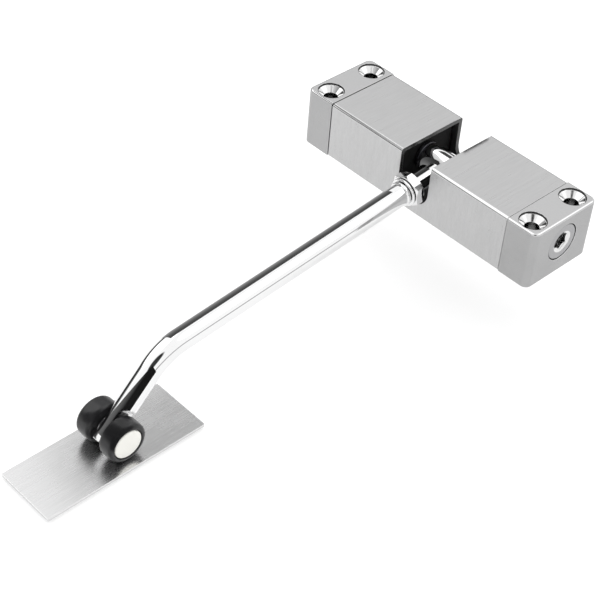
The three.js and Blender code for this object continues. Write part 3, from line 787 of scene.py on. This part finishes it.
class BuildCaps(bpy.types.Operator):
    """End caps with countersunk screw holes, and the bore of the tension adjuster"""

    bl_idname = "closer.caps"
    bl_label = "End caps"

    def execute(self, context):
        sizes = context.scene.closer_sizes
        for side, name in ((1, "right_end_cap"), (-1, "left_end_cap")):
            made = self.cap(sizes, side, name.replace("_end", ""))
            stand_for(made, "housing", "satin_cap", name)
        return {"FINISHED"}

    def level(self, sizes, half_width, reach, inset, height):
        """The cap's outline at one height, drawn in by inset, twice as long as the cap."""
        radius = sizes.cap_corner - inset
        u, v = reach - inset, half_width - inset
        outline = rounded_box(-u, u, -v, v, radius, 8)
        return [Vector((x, y, height)) for x, y in outline]

    def cap(self, sizes, side, name):
        seam = TUBE_HIGH.x + sizes.seam
        reach = CAP_HIGH.x - seam
        half_width, top = CAP_HIGH.y, CAP_HIGH.z
        levels = [self.level(sizes, half_width, reach, 0, 0)]
        steps = 8
        for step in range(steps + 1):
            angle = math.pi / 2 * step / steps
            inset = sizes.cap_top * (1 - math.cos(angle))
            height = top - sizes.cap_top * (1 - math.sin(angle))
            levels.append(self.level(sizes, half_width, reach, inset, height))
        metal, machined = finish_of(cap_metal), finish_of(machined_metal)
        block = piece(name, rings_mesh(levels), metal)
        block.data.transform(Matrix.Translation((seam, 0, 0)))
        square = [(FAR, FAR), (-FAR, FAR), (-FAR, -FAR), (FAR, -FAR)]
        inner_half = piece("tool", prism(square, ORIGIN, AWAY_FROM_DOOR, UP, -FAR, seam), metal)
        combine(block, "DIFFERENCE", inner_half)
        gap = sizes.wall + sizes.clearance
        low_z, high_z = TUBE_LOW.z + gap, TUBE_HIGH.z - gap
        plug_side = TUBE_HIGH.y - gap
        plug_outline = rounded_box(-plug_side, plug_side, low_z, high_z, sizes.foot_corner)
        plug_shape = prism(plug_outline, ORIGIN, AWAY_FROM_DOOR, UP, CAP_LOW.x, seam + MM)
        # painted shade: the plug takes the near-black finish
        combine(block, "UNION", piece("plug", plug_shape, finish_of(shade_painted_steel)))
        hole_x = CAP_HIGH.x - sizes.screw_from_end
        hole_y = CAP_HIGH.y - sizes.screw_from_side
        tools = []
        for y in (hole_y, -hole_y):
            sink_foot = top - sizes.sink_depth
            lip = top - 0.6 * MM
            cone_mouth = sizes.sink - 0.25 * MM
            cone = [
                (-BEYOND, 0), (-BEYOND, sizes.screw_hole), (sink_foot, sizes.screw_hole), (lip, cone_mouth),
                (top + BEYOND, cone_mouth), (top + BEYOND, 0)]
            rim = [(lip, 0), (lip, sizes.sink), (top + BEYOND, sizes.sink), (top + BEYOND, 0)]
            centre = Vector((hole_x, y, 0))
            # painted shade: the short step at a countersink's mouth takes the near-black finish, the dark
            # crescent along its rim
            tools.append(piece("tool", turned(rim, centre, UP, 64), finish_of(shade_painted_steel)))
            tools.append(piece("tool", turned(cone, centre, UP, 64), machined))
        tools.append(cap_screw_hole(sizes, "right_cap_screw", metal))
        if side > 0:
            tools += self.adjuster_bore(sizes, machined)
        combine(block, "DIFFERENCE", *tools)
        if side < 0:
            block.data.transform(Matrix.Scale(-1, 4, ACROSS))
            block.data.flip_normals()
        return soften(block, sizes.cut_edge * 0.8)

    def adjuster_bore(self, sizes, material):
        """Tools for the stepped bore that the tension adjuster turns in."""
        low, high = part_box("tension_adjuster")
        flange = (high - low).z / 2 + sizes.clearance
        flange_face = low.x + FLANGE_POCKET
        profile = [
            (0, 0), (0, flange), (flange_face, flange), (flange_face, sizes.adjuster_bore),
            (FAR, sizes.adjuster_bore), (FAR, 0)]
        return [piece("tool", turned(profile, Vector((0, 0, SHAFT.z)), ACROSS, 96), material)]


class BuildAdjuster(bpy.types.Operator):
    """Tension adjuster with its hexagon socket"""

    bl_idname = "closer.adjuster"
    bl_label = "Tension adjuster"

    def execute(self, context):
        sizes = context.scene.closer_sizes
        low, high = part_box("tension_adjuster")
        flange = (high - low).z / 2
        flange_face = low.x + FLANGE
        face, edge = high.x, 0.25 * MM
        axis = Vector((0, 0, SHAFT.z))
        steel, machined = finish_of(adjuster_steel), finish_of(machined_metal)
        profile = [(low.x, 0), (low.x, flange), (flange_face, flange), (flange_face, sizes.adjuster)]
        profile += arc_pairs((face - edge, sizes.adjuster - edge), edge, 90, 0, 5) + [(face, 0)]
        body = piece("adjuster_plug", turned(profile, axis, ACROSS, 96), steel)
        corner = sizes.key / 2 / math.cos(math.radians(30))
        angles = [math.radians(degrees) for degrees in range(30, 390, 60)]
        hexagon = [(corner * math.cos(a), corner * math.sin(a)) for a in angles]
        socket_shape = prism(hexagon, axis, AWAY_FROM_DOOR, UP, face - sizes.key_depth, FAR)
        socket = piece("tool", socket_shape, machined)
        lead_foot = face - 0.8 * MM
        lead_profile = [
            (lead_foot, 0), (lead_foot, sizes.key / 2), (face, sizes.key_lead),
            (FAR, sizes.key_lead), (FAR, 0)]
        lead = piece("tool", turned(lead_profile, axis, ACROSS, 64), machined)
        leg_axis = axis - Vector((0, sizes.coil, 0))
        leg_hole = drill(
            low.x - BEYOND, flange_face - LEG_HOLE_ROOF, sizes.leg_hole, leg_axis, ACROSS, 40, steel)
        combine(body, "DIFFERENCE", socket, lead, leg_hole)
        soften(body, 0.08 * MM, segments=2)
        stand_for(body, "adjuster", "plain_steel", "tension_adjuster")
        return {"FINISHED"}


class BuildBushes(bpy.types.Operator):
    """Black bearing blocks on either side of the slot"""

    bl_idname = "closer.bushes"
    bl_label = "Bearing blocks"

    def execute(self, context):
        sizes = context.scene.closer_sizes
        black = finish_of(black_plastic)
        for node in ("right_bush", "left_bush"):
            low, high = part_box(node)
            outline = rounded_box(low.y, high.y, low.z, high.z, sizes.foot_corner)
            block_shape = prism(outline, ORIGIN, AWAY_FROM_DOOR, UP, low.x, high.x)
            block = piece(node.replace("bush", "bearing"), block_shape, black)
            bore = sizes.shaft + sizes.clearance
            combine(block, "DIFFERENCE", drill(-FAR, FAR, bore, Vector((0, 0, SHAFT.z)), ACROSS, 64, black))
            soften(block, 0.25 * MM)
            stand_for(block, "housing", "black_plastic", node)
        return {"FINISHED"}


# ---------------------------------------------------------------- arm


# places along the arm, from the shaft's middle
STUD_ROOT = 4.1 * MM
STUD_STEP = 19 * MM
STUD_END = 26 * MM
NUT_START = 14.3 * MM
NUT_END = 17.5 * MM
WASHER_START = 17.75 * MM
WASHER_END = 18.5 * MM
ROD_START = 18.8 * MM

STUD_TIP = 2.2 * MM         # radius of the stud past its step
ROD_BORE = 2.5 * MM         # radius of the rod's bore
ROD_BORE_DEPTH = 9 * MM
AXLE_HOLE = 2.3 * MM        # radius of the holes that the axle goes through
CORE_RECESS = 0.9 * MM      # how far a core stands back behind its tyre's inner lip


class BuildHub(bpy.types.Operator):
    """Chrome T-piece: the sleeve on the shaft and the stud that takes the arm"""

    bl_idname = "closer.hub"
    bl_label = "Hub"

    def execute(self, context):
        sizes = context.scene.closer_sizes
        chrome = finish_of(chrome_plating)
        low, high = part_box("arm_hub")
        half = high.x
        radius = high.z - SHAFT.z
        edge = 0.6 * MM
        ends = arc_pairs((edge - half, radius - edge), edge, 180, 90, 8)
        other = [(-x, r) for x, r in reversed(ends)]
        bore = sizes.shaft + sizes.clearance
        sleeve = piece("hub", turned(
            [(-half, bore), *ends, *other, (half, bore)], SHAFT, ACROSS, 128, closed=True), chrome)
        taper, chamfer = 0.6 * MM, 0.4 * MM
        profile = [
            (STUD_ROOT, 0), (STUD_ROOT, sizes.stud), (STUD_STEP - taper, sizes.stud), (STUD_STEP, STUD_TIP),
            (STUD_END - chamfer, STUD_TIP), (STUD_END, STUD_TIP - chamfer), (STUD_END, 0)]
        stud = piece("stud", turned(profile, SHAFT, ALONG_ARM, 96), chrome)
        combine(sleeve, "UNION", stud)
        pin = sizes.pin + sizes.clearance
        combine(sleeve, "DIFFERENCE", drill(0, FAR, pin, SHAFT, -ALONG_ARM, 32, chrome))
        soften(sleeve, 0.22 * MM, segments=4, angle=35)
        stand_for(sleeve, "arm", "chrome", "arm_hub")
        return {"FINISHED"}


class BuildNut(bpy.types.Operator):
    """Lock nut and its washer on the stud"""

    bl_idname = "closer.nut"
    bl_label = "Lock nut"

    def execute(self, context):
        sizes = context.scene.closer_sizes
        chrome = finish_of(chrome_plating)
        start, end = NUT_START, NUT_END
        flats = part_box("lock_nut")[1].x
        corner = flats / math.cos(math.radians(30))
        angles = [math.radians(degrees) for degrees in range(0, 360, 60)]
        hexagon = [(corner * math.sin(a), corner * math.cos(a)) for a in angles]
        side = plane_frame(ALONG_ARM)[0]
        nut = piece("nut", prism(hexagon, SHAFT, side, side.cross(-ALONG_ARM), start, end), chrome)
        chamfer, inside_flats, past_corners = 0.55 * MM, flats * 0.99, corner * 1.01
        profile = [
            (start, 0), (start, inside_flats), (start + chamfer, past_corners),
            (end - chamfer, past_corners), (end, inside_flats), (end, 0)]
        envelope = piece("tool", turned(profile, SHAFT, ALONG_ARM, 96), chrome)
        bore = sizes.stud + sizes.clearance
        hole = drill(0, FAR, bore, SHAFT, ALONG_ARM, 64, chrome)
        combine(nut, "INTERSECT", envelope)
        combine(nut, "DIFFERENCE", hole)
        soften(nut, 0.1 * MM, segments=2, angle=28)
        stand_for(nut, "nut", "chrome", "lock_nut")
        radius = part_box("lock_washer")[1].x
        ring = ring_profile(WASHER_START, WASHER_END, radius, bore, 0.3 * MM)
        washer = piece("washer", turned(ring, SHAFT, ALONG_ARM, 96, closed=True), chrome)
        settle(washer)
        stand_for(washer, "washer", "chrome", "lock_washer")
        return {"FINISHED"}


def ring_profile(start, end, radius, bore, edge):
    """The section of a flat ring with rounded outer edges."""
    return [
        (start, bore),
        *arc_pairs((start + edge, radius - edge), edge, 180, 90, 5),
        *arc_pairs((end - edge, radius - edge), edge, 90, 0, 5),
        (end, bore),
    ]


class BuildRod(bpy.types.Operator):
    """Bent chrome rod with a collar at its start and a flat tang at its end"""

    bl_idname = "closer.rod"
    bl_label = "Arm rod"

    def execute(self, context):
        sizes = context.scene.closer_sizes
        chrome = finish_of(chrome_plating)
        rings = [self.section(sizes, *station) for station in self.stations(sizes)]
        rod = piece("arm", rings_mesh(rings), chrome)
        combine(rod, "DIFFERENCE", drill(-FAR, FAR, AXLE_HOLE, AXLE, ACROSS, 48, chrome))
        settle(rod, sharp_over=28)
        stand_for(rod, "arm", "chrome", "arm_rod")
        return {"FINISHED"}

    def bend(self, sizes):
        """Where the bend starts along the arm, its arc's length, and the leg's length to the axle."""
        offset = AXLE - SHAFT
        leg = offset.dot(UNDER_ARM) / math.sin(sizes.bend_angle)
        corner = offset.dot(ALONG_ARM) - leg * math.cos(sizes.bend_angle)
        tangent = sizes.bend_radius * math.tan(sizes.bend_angle / 2)
        return corner - tangent, sizes.bend_radius * sizes.bend_angle, leg - tangent

    def stations(self, sizes):
        """(distance along the rod, radius) of each section, from the bottom of the bore to the tang's end."""
        start, edge, soft = ROD_START, 0.35 * MM, 0.3 * MM
        bore_end = start + ROD_BORE_DEPTH
        collar, collar_end = sizes.collar, start + sizes.collar_length
        bend_start, arc, leg = self.bend(sizes)
        end = bend_start + arc + leg + sizes.tang_past_axle
        listed = [(bore_end, 0), (bore_end, ROD_BORE), (start, ROD_BORE)]
        listed += arc_pairs((start + edge, collar - edge), edge, 180, 90, 5)
        listed += arc_pairs((collar_end - edge, collar - edge), edge, 90, 0, 5)
        listed += [(collar_end, sizes.rod)]
        listed += [(collar_end + (bend_start - collar_end) * step / 12, sizes.rod) for step in range(1, 13)]
        listed += [(bend_start + arc * step / 40, sizes.rod) for step in range(1, 41)]
        leg_start = bend_start + arc
        listed += [(leg_start + (end - soft - leg_start) * step / 44, sizes.rod) for step in range(1, 45)]
        listed += [(end - soft + p.x, sizes.rod - soft + p.y) for p in arc_points((0, 0), soft, 75, 0, 4)]
        return listed + [(end, 0)]

    def section(self, sizes, along, radius, sides=96):
        """One section of the rod, flattened where the tang is."""
        bend_start, arc, leg = self.bend(sizes)
        turn = min(max((along - bend_start) / sizes.bend_radius, 0), sizes.bend_angle)
        ahead = ALONG_ARM * math.cos(turn) + UNDER_ARM * math.sin(turn)
        below = UNDER_ARM * math.cos(turn) - ALONG_ARM * math.sin(turn)
        centre = SHAFT + ALONG_ARM * min(along, bend_start)
        centre += ALONG_ARM * (sizes.bend_radius * math.sin(turn))
        centre += UNDER_ARM * (sizes.bend_radius * (1 - math.cos(turn)))
        centre += ahead * max(along - bend_start - arc, 0)
        if radius < 1e-9:
            return [centre]
        half = self.half_width(sizes, bend_start + arc + leg - along)
        limit = half + min(radius - sizes.rod, 0) if half < radius else radius
        points = []
        for side in range(sides):
            angle = 2 * math.pi * side / sides
            x = min(max(radius * math.cos(angle), -limit), limit)
            points.append(centre + ACROSS * x + below * (radius * math.sin(angle)))
        return points

    def half_width(self, sizes, before_axle):
        """Half the rod's width that the tang's flats leave, at a distance before the axle."""
        past = before_axle - sizes.tang_length
        if past <= 0:
            return sizes.tang
        if past >= sizes.tang_run_out:
            return FAR
        rise = sizes.tang_run_out - math.sqrt(sizes.tang_run_out ** 2 - past ** 2)
        return sizes.tang + rise


class BuildRollers(bpy.types.Operator):
    """Rubber rollers with their white discs, cores, spacers and axle"""

    bl_idname = "closer.rollers"
    bl_label = "Rollers"

    def execute(self, context):
        sizes = context.scene.closer_sizes
        for side, name in ((1, "right"), (-1, "left")):
            axis = ACROSS * side
            body = f"{name}_roller"
            tyre = self.tyre(sizes, name, axis)
            stand_for(tyre, body, "rubber", f"{name}_tyre")
            disc = self.disc(name, axis)
            stand_for(disc, body, "white_plastic", f"{name}_roller_cap")
            core = self.collar(
                f"{name}_roller_core", f"{name}_core", axis, finish_of(white_plastic), CORE_RECESS)
            stand_for(core, body, "white_plastic", f"{name}_roller_core")
            spacer = self.collar(f"{name}_spacer", f"{name}_side_washer", axis, finish_of(axle_steel))
            stand_for(spacer, "arm", "plain_steel", f"{name}_spacer")
        stand_for(self.axle(), "arm", "plain_steel", "roller_axle")
        return {"FINISHED"}

    def span(self, node):
        """Nearest and farthest distance from the arm's middle, and the radius."""
        low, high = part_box(node)
        ends = sorted((abs(low.x), abs(high.x)))
        return ends[0], ends[1], (high.z - low.z) / 2

    def tyre(self, sizes, name, axis):
        near, far, radius = self.span(f"{name}_tyre")
        edge = sizes.roller_edge
        inner = self.span(f"{name}_roller_core")[2] + sizes.clearance
        outer = self.span(f"{name}_roller_cap")[2] + sizes.clearance
        step = self.span(f"{name}_roller_cap")[0] - sizes.clearance
        lip = 0.2 * MM
        crown = 0.04 * MM
        lip_depth, lip_radius = 0.6 * MM, 2.4 * MM
        profile = [
            (near, lip_radius),
            *arc_pairs((near + edge, radius - crown - edge), edge, 180, 90, 12),
            ((near + far) / 2, radius),
            *arc_pairs((far - edge, radius - crown - edge), edge, 90, 0, 12),
            *arc_pairs((far - lip, outer + lip), lip, 0, -90, 4),
            (step, outer),
            (step, inner),
            (near + lip_depth, inner),
            (near + lip_depth, lip_radius),
        ]
        shape = turned(profile, AXLE, axis, 128, closed=True)
        return settle(piece(f"{name}_rubber", shape, finish_of(roller_rubber)))

    def disc(self, name, axis):
        near, far, radius = self.span(f"{name}_roller_cap")
        edge = 0.3 * MM
        dome = 0.05 * MM
        profile = [(near, 0), (near, radius)]
        profile += arc_pairs((far - dome - edge, radius - edge), edge, 90, 10, 6)
        for step in range(1, 6):
            share = step / 5
            profile.append((far - dome * (1 - share) ** 2, (radius - edge) * (1 - share)))
        return settle(piece(f"{name}_disc", turned(profile, AXLE, axis, 128), finish_of(white_plastic)))

    def collar(self, node, name, axis, material, recess=0.0):
        near, far, radius = self.span(node)
        profile = ring_profile(near + recess, far, radius, AXLE_HOLE, 0.12 * MM)
        return settle(piece(name, turned(profile, AXLE, axis, 64, closed=True), material))

    def axle(self):
        low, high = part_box("roller_axle")
        radius, edge = (high.z - low.z) / 2, 0.3 * MM
        half = high.x
        end = arc_pairs((half - edge, radius - edge), edge, 90, 0, 5)
        start = [(-x, r) for x, r in reversed(end)]
        shape = turned([(-half, 0), *start, *end, (half, 0)], AXLE, ACROSS, 64)
        return settle(piece("axle", shape, finish_of(axle_steel)))


def axle_steel(colours):
    """Turned steel about the rollers' axle."""
    return turned_steel(colours, "axle_steel", AXLE)


# ---------------------------------------------------------------- plate and inner works


class BuildPlate(bpy.types.Operator):
    """Thin wear plate and the adhesive pad under it"""

    bl_idname = "closer.plate"
    bl_label = "Wear plate"

    def execute(self, context):
        for node, name, maker, slot, corner, edge in (
                ("wear_plate", "plate", plate_steel, "brushed_steel", 0.5 * MM, 0.12 * MM),
                ("adhesive_pad", "pad", foam, "foam", 1.0 * MM, 0.1 * MM)):
            low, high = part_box(node)
            outline = rounded_box(low.x, high.x, low.y, high.y, corner)
            shape = prism(outline, ORIGIN, ACROSS, AWAY_FROM_DOOR, low.z, high.z)
            made = piece(name, shape, finish_of(maker))
            soften(made, edge, segments=2)
            stand_for(made, "plate", slot, node)
        return {"FINISHED"}


class DressInside(bpy.types.Operator):
    """Finishes for the pieces inside the housing"""

    bl_idname = "closer.inside"
    bl_label = "Inner works"

    def execute(self, context):
        steel = finish_of(turned_steel)
        for node in ("shaft", "spring_carrier", "right_cap_screw", "left_cap_screw"):
            dress(node, steel)
        hardened = finish_of(spring_steel)
        for node in (
                "torsion_spring", "retaining_ring", "hub_pin", "right_thrust_washer", "left_thrust_washer"):
            dress(node, hardened)
        return {"FINISHED"}


# ---------------------------------------------------------------- stage


ROOM = 1.03                 # tone of the room's walls
SOFTBOX = 1.6
DARK_ZONE = 0.04
FLOOR_GLOW = 0.5            # what the floor gives off, which keeps it pale
FLOOR_REACH = 3.0
NEAR_REACH = 11 * MM        # from how far away a reflection still sees a near flag
FAR_REACH = 1.0


def grey(tone):
    """A colour with no hue."""
    return (tone, tone, tone)


def flag_material(name, reach):
    """A card that shows its tone on one side, to surfaces no farther away than reach."""
    card = bpy.data.materials.new(name)
    card.use_nodes = True
    card.cycles.emission_sampling = "NONE"
    tree = card.node_tree
    shader = tree.nodes["Principled BSDF"]
    shader.inputs["Base Color"].default_value = (0, 0, 0, 1)
    shader.inputs["Roughness"].default_value = 1.0
    shader.inputs["Specular IOR Level"].default_value = 0.0
    shader.inputs["Emission Strength"].default_value = 1.0
    tone = place(tree, "ShaderNodeVertexColor", layer_name="tone").outputs["Color"]
    tree.links.new(tone, shader.inputs["Emission Color"])
    front = number(tree, "SUBTRACT", 1.0, place(tree, "ShaderNodeNewGeometry").outputs["Backfacing"])
    near = number(tree, "LESS_THAN", place(tree, "ShaderNodeLightPath").outputs["Ray Length"], reach)
    tree.links.new(number(tree, "MULTIPLY", front, near), shader.inputs["Alpha"])
    return card


class BuildStage(bpy.types.Operator):
    """Pale floor, soft light, dark flags for the chrome to reflect, and the camera"""

    bl_idname = "closer.stage"
    bl_label = "Stage"

    def execute(self, context):
        context.scene.view_settings.view_transform = "Standard"
        self.floor(context)
        self.sky(context)
        self.lights(context)
        self.flags(context)
        self.camera(context)
        return {"FINISHED"}

    def floor(self, context):
        base = context.scene.closer_colours.floor
        paper = Finish("floor_paper")
        tree = paper.tree
        grain = place(tree, "ShaderNodeTexNoise", {"Vector": paper.coordinates, "Scale": 30.0}).outputs[0]
        across = place(tree, "ShaderNodeSeparateXYZ", {0: paper.coordinates}).outputs["X"]
        reflected = place(tree, "ShaderNodeLightPath").outputs["Is Glossy Ray"]
        shaded = number(tree, "MULTIPLY", spread(tree, across, -0.03, 0.07, 0.13, 0.16), reflected)
        paper.paint(
            blend_colours(tree, shaded, base, (0, 0, 0)),
            spread(tree, grain, 0.0, 1.0, 0.85, 0.9))
        glow = blend_colours(tree, shaded, grey(FLOOR_GLOW), (0, 0, 0))
        tree.links.new(glow, paper.shader.inputs["Emission Color"])
        paper.shader.inputs["Emission Strength"].default_value = 1.0
        paper.shader.inputs["Specular IOR Level"].default_value = 0.0
        reach = FLOOR_REACH
        height = CAD_LOW.z - 0.05 * MM
        mesh = bmesh.new()
        corners = ((-reach, -reach), (reach, -reach), (reach, reach), (-reach, reach))
        mesh.faces.new([mesh.verts.new((x, y, height)) for x, y in corners])
        piece("floor", mesh, paper.material)

    def sky(self, context):
        """A bright room with softboxes over the front and the end, and dark zones: a strip low on one
        side, a thin horizon, and a patch where the camera stands."""
        world = bpy.data.worlds.new("studio")
        world.use_nodes = True
        context.scene.world = world
        tree = world.node_tree
        direction = place(tree, "ShaderNodeTexCoord").outputs["Generated"]
        height = place(tree, "ShaderNodeSeparateXYZ", {0: direction}).outputs["Z"]
        low = number(
            tree, "MULTIPLY", spread(tree, height, 0.0, 0.05), spread(tree, height, 0.30, 0.42, 1.0, 0.0))
        horizon = number(
            tree, "MULTIPLY", spread(tree, height, 0.0, 0.03), spread(tree, height, 0.12, 0.17, 0.65, 0.0))
        strip = number(tree, "MULTIPLY", low, self.around(tree, direction, (-1, 0, 0), 72, 60))
        behind_camera = self.around(tree, direction, (0.5155, -0.5433, 0.6626), 20, 16)
        over_front = self.around(tree, direction, (-0.545, -0.27, 0.80), 36, 26)
        over_end = self.around(tree, direction, (0.35, 0.543, 0.76), 26, 16)
        softbox = number(tree, "MAXIMUM", over_front, over_end)
        tone = blend_colours(tree, softbox, grey(ROOM), grey(SOFTBOX))
        dark = number(tree, "MAXIMUM", horizon, number(tree, "MAXIMUM", strip, behind_camera))
        tone = blend_colours(tree, dark, tone, grey(DARK_ZONE))
        background = tree.nodes["Background"]
        tree.links.new(tone, background.inputs["Color"])
        background.inputs["Strength"].default_value = 1.0

    def around(self, tree, direction, middle, outer, inner):
        """1 within the inner angle of a direction and 0 outside the outer one, both in degrees."""
        same = place(tree, "ShaderNodeVectorMath", {0: direction, 1: Vector(middle).normalized()},
                     operation="DOT_PRODUCT").outputs["Value"]
        return spread(tree, same, math.cos(math.radians(outer)), math.cos(math.radians(inner)))

    def lights(self, context):
        centre = (CAD_LOW + CAD_HIGH) / 2
        offset = Vector((-0.45, 0.35, 0.9))
        lamp = bpy.data.lights.new("key_light", "AREA")
        lamp.size = 0.7
        lamp.energy = 1.5
        made = bpy.data.objects.new("key_light", lamp)
        made.location = centre + offset
        made.rotation_mode = "QUATERNION"
        made.rotation_quaternion = (-offset).to_track_quat("-Z", "Y")
        made.visible_glossy = False
        context.scene.collection.objects.link(made)

    def flags(self, context):
        """Dark half-pipes and cards that only reflections see, beside the arm and over the slot and plate."""
        sizes = context.scene.closer_sizes
        bend = sizes.bend_angle
        offset = AXLE - SHAFT
        leg_length = offset.dot(UNDER_ARM) / math.sin(bend)
        corner = SHAFT + ALONG_ARM * (offset.dot(ALONG_ARM) - leg_length * math.cos(bend))
        along_leg = ALONG_ARM * math.cos(bend) + UNDER_ARM * math.sin(bend)
        arm_length = (corner - SHAFT).dot(ALONG_ARM)
        near_card = flag_material("flag_near", NEAR_REACH)
        far_card = flag_material("flag_far", FAR_REACH)
        arm_start, arm_end = 19 * MM, arm_length - 4 * MM
        leg_end = leg_length + 4 * MM
        self.pipe("flag_arm", near_card, SHAFT, ALONG_ARM,
                  reach=(arm_start, arm_start, arm_end), angles=(-14, -92), tones=(0.06, 0.45))
        self.pipe("flag_leg", near_card, corner, along_leg,
                  reach=(4 * MM, 6 * MM, leg_end), angles=(31, 83), tones=(0.01, 0.01))
        self.pipe("flag_foot", near_card, corner, along_leg,
                  reach=(26 * MM, 5 * MM, leg_end), angles=(-40, 31), tones=(0.14, 0.01))
        self.pipe("flag_neck", near_card, SHAFT, ALONG_ARM,
                  reach=(4.5 * MM, 4.5 * MM, 14 * MM), angles=(-10, -100), tones=(0.03, 0.2), radius=5.9 * MM)
        self.card("flag_slot", near_card, height=0.0215,
                  across=(-0.006, 0.006), along=(0.0015, 0.013), tones=(0.05, 0.12))
        self.card("flag_plate", far_card, height=0.073,
                  across=(-0.085, -0.035), along=(-0.10, -0.01), tones=(0.2, 0.75))

    def pipe(self, name, card, origin, direction, reach, angles, tones, radius=10 * MM, steps=12):
        """Part of a pipe round a line, with a tone that runs from one edge to the other."""
        above = ACROSS.cross(direction) * -1
        mesh = bmesh.new()
        layer = mesh.verts.layers.float_color.new("tone")
        rows = []
        for step in range(steps + 1):
            share = step / steps
            angle = math.radians(angles[0] + (angles[1] - angles[0]) * share)
            tone = tones[0] + (tones[1] - tones[0]) * share ** 2
            outward = above * math.cos(angle) + ACROSS * math.sin(angle)
            row = []
            first_start, last_start, end = reach
            for along in (first_start + (last_start - first_start) * share, end):
                vert = mesh.verts.new(origin + direction * along + outward * radius)
                vert[layer] = (tone, tone, tone, 1)
                row.append(vert)
            rows.append(row)
        for first, second in zip(rows, rows[1:]):
            face = mesh.faces.new((first[0], first[1], second[1], second[0]))
            face.normal_update()
            middle = face.calc_center_median()
            axis_point = origin + direction * (middle - origin).dot(direction)
            if face.normal.dot(axis_point - middle) < 0:
                face.normal_flip()
        self.hang(name, mesh, card)

    def card(self, name, card, height, across, along, tones):
        """A level card that shows its tones to what lies below it."""
        mesh = bmesh.new()
        layer = mesh.verts.layers.float_color.new("tone")
        corners = []
        for x, y, tone in (
                (across[0], along[0], tones[0]), (across[0], along[1], tones[0]),
                (across[1], along[1], tones[1]), (across[1], along[0], tones[1])):
            vert = mesh.verts.new((x, y, height))
            vert[layer] = (tone, tone, tone, 1)
            corners.append(vert)
        face = mesh.faces.new(corners)
        face.normal_update()
        if face.normal.z > 0:
            face.normal_flip()
        self.hang(name, mesh, card)

    def hang(self, name, mesh, card):
        data = bpy.data.meshes.new(name)
        mesh.to_mesh(data)
        mesh.free()
        data.materials.append(card)
        made = bpy.data.objects.new(name, data)
        bpy.context.scene.collection.objects.link(made)
        made.visible_camera = False
        made.visible_diffuse = False
        made.visible_shadow = False
        made.visible_transmission = False

    def camera(self, context):
        azimuth, elevation, roll = (math.radians(degrees) for degrees in (43.5, 41.5, 4.9))
        target, distance = Vector((0.0017, -0.0617, -0.0094)), 0.470
        level = math.cos(elevation)
        back = Vector((math.sin(azimuth) * level, -math.cos(azimuth) * level, math.sin(elevation)))
        lens = bpy.data.cameras.new("camera")
        lens.lens = 94.3
        lens.sensor_width = 36
        lens.clip_start = 0.01
        made = bpy.data.objects.new("camera", lens)
        made.location = target + back * distance
        made.rotation_mode = "QUATERNION"
        made.rotation_quaternion = (-back).to_track_quat("-Z", "Y") @ Quaternion((0, 0, 1), roll)
        context.scene.collection.objects.link(made)
        context.scene.camera = made


# ---------------------------------------------------------------- panel and registration


OPERATORS = (
    BuildHousing,
    BuildCaps,
    BuildAdjuster,
    BuildBushes,
    BuildHub,
    BuildNut,
    BuildRod,
    BuildRollers,
    BuildPlate,
    DressInside,
    BuildStage,
)


class CloserPanel(bpy.types.Panel):
    """Lists the steps that build the door closer"""

    bl_idname = "VIEW3D_PT_door_closer"
    bl_label = "Door closer"
    bl_space_type = "VIEW_3D"
    bl_region_type = "UI"
    bl_category = "Door closer"

    def draw(self, context):
        for operator in OPERATORS:
            self.layout.operator(operator.bl_idname)
        for group in (context.scene.closer_sizes, context.scene.closer_colours):
            column = self.layout.column()
            for name in group.__annotations__:
                column.prop(group, name)


CLASSES = (CloserSizes, CloserColours, *OPERATORS, CloserPanel)


def register():
    for cls in CLASSES:
        bpy.utils.register_class(cls)
    bpy.types.Scene.closer_sizes = bpy.props.PointerProperty(type=CloserSizes)
    bpy.types.Scene.closer_colours = bpy.props.PointerProperty(type=CloserColours)


def unregister():
    del bpy.types.Scene.closer_colours
    del bpy.types.Scene.closer_sizes
    for cls in reversed(CLASSES):
        bpy.utils.unregister_class(cls)


def main():
    register()
    for operator in OPERATORS:
        group, name = operator.bl_idname.split(".")
        getattr(getattr(bpy.ops, group), name)()


if __name__ == "__main__":
    main()
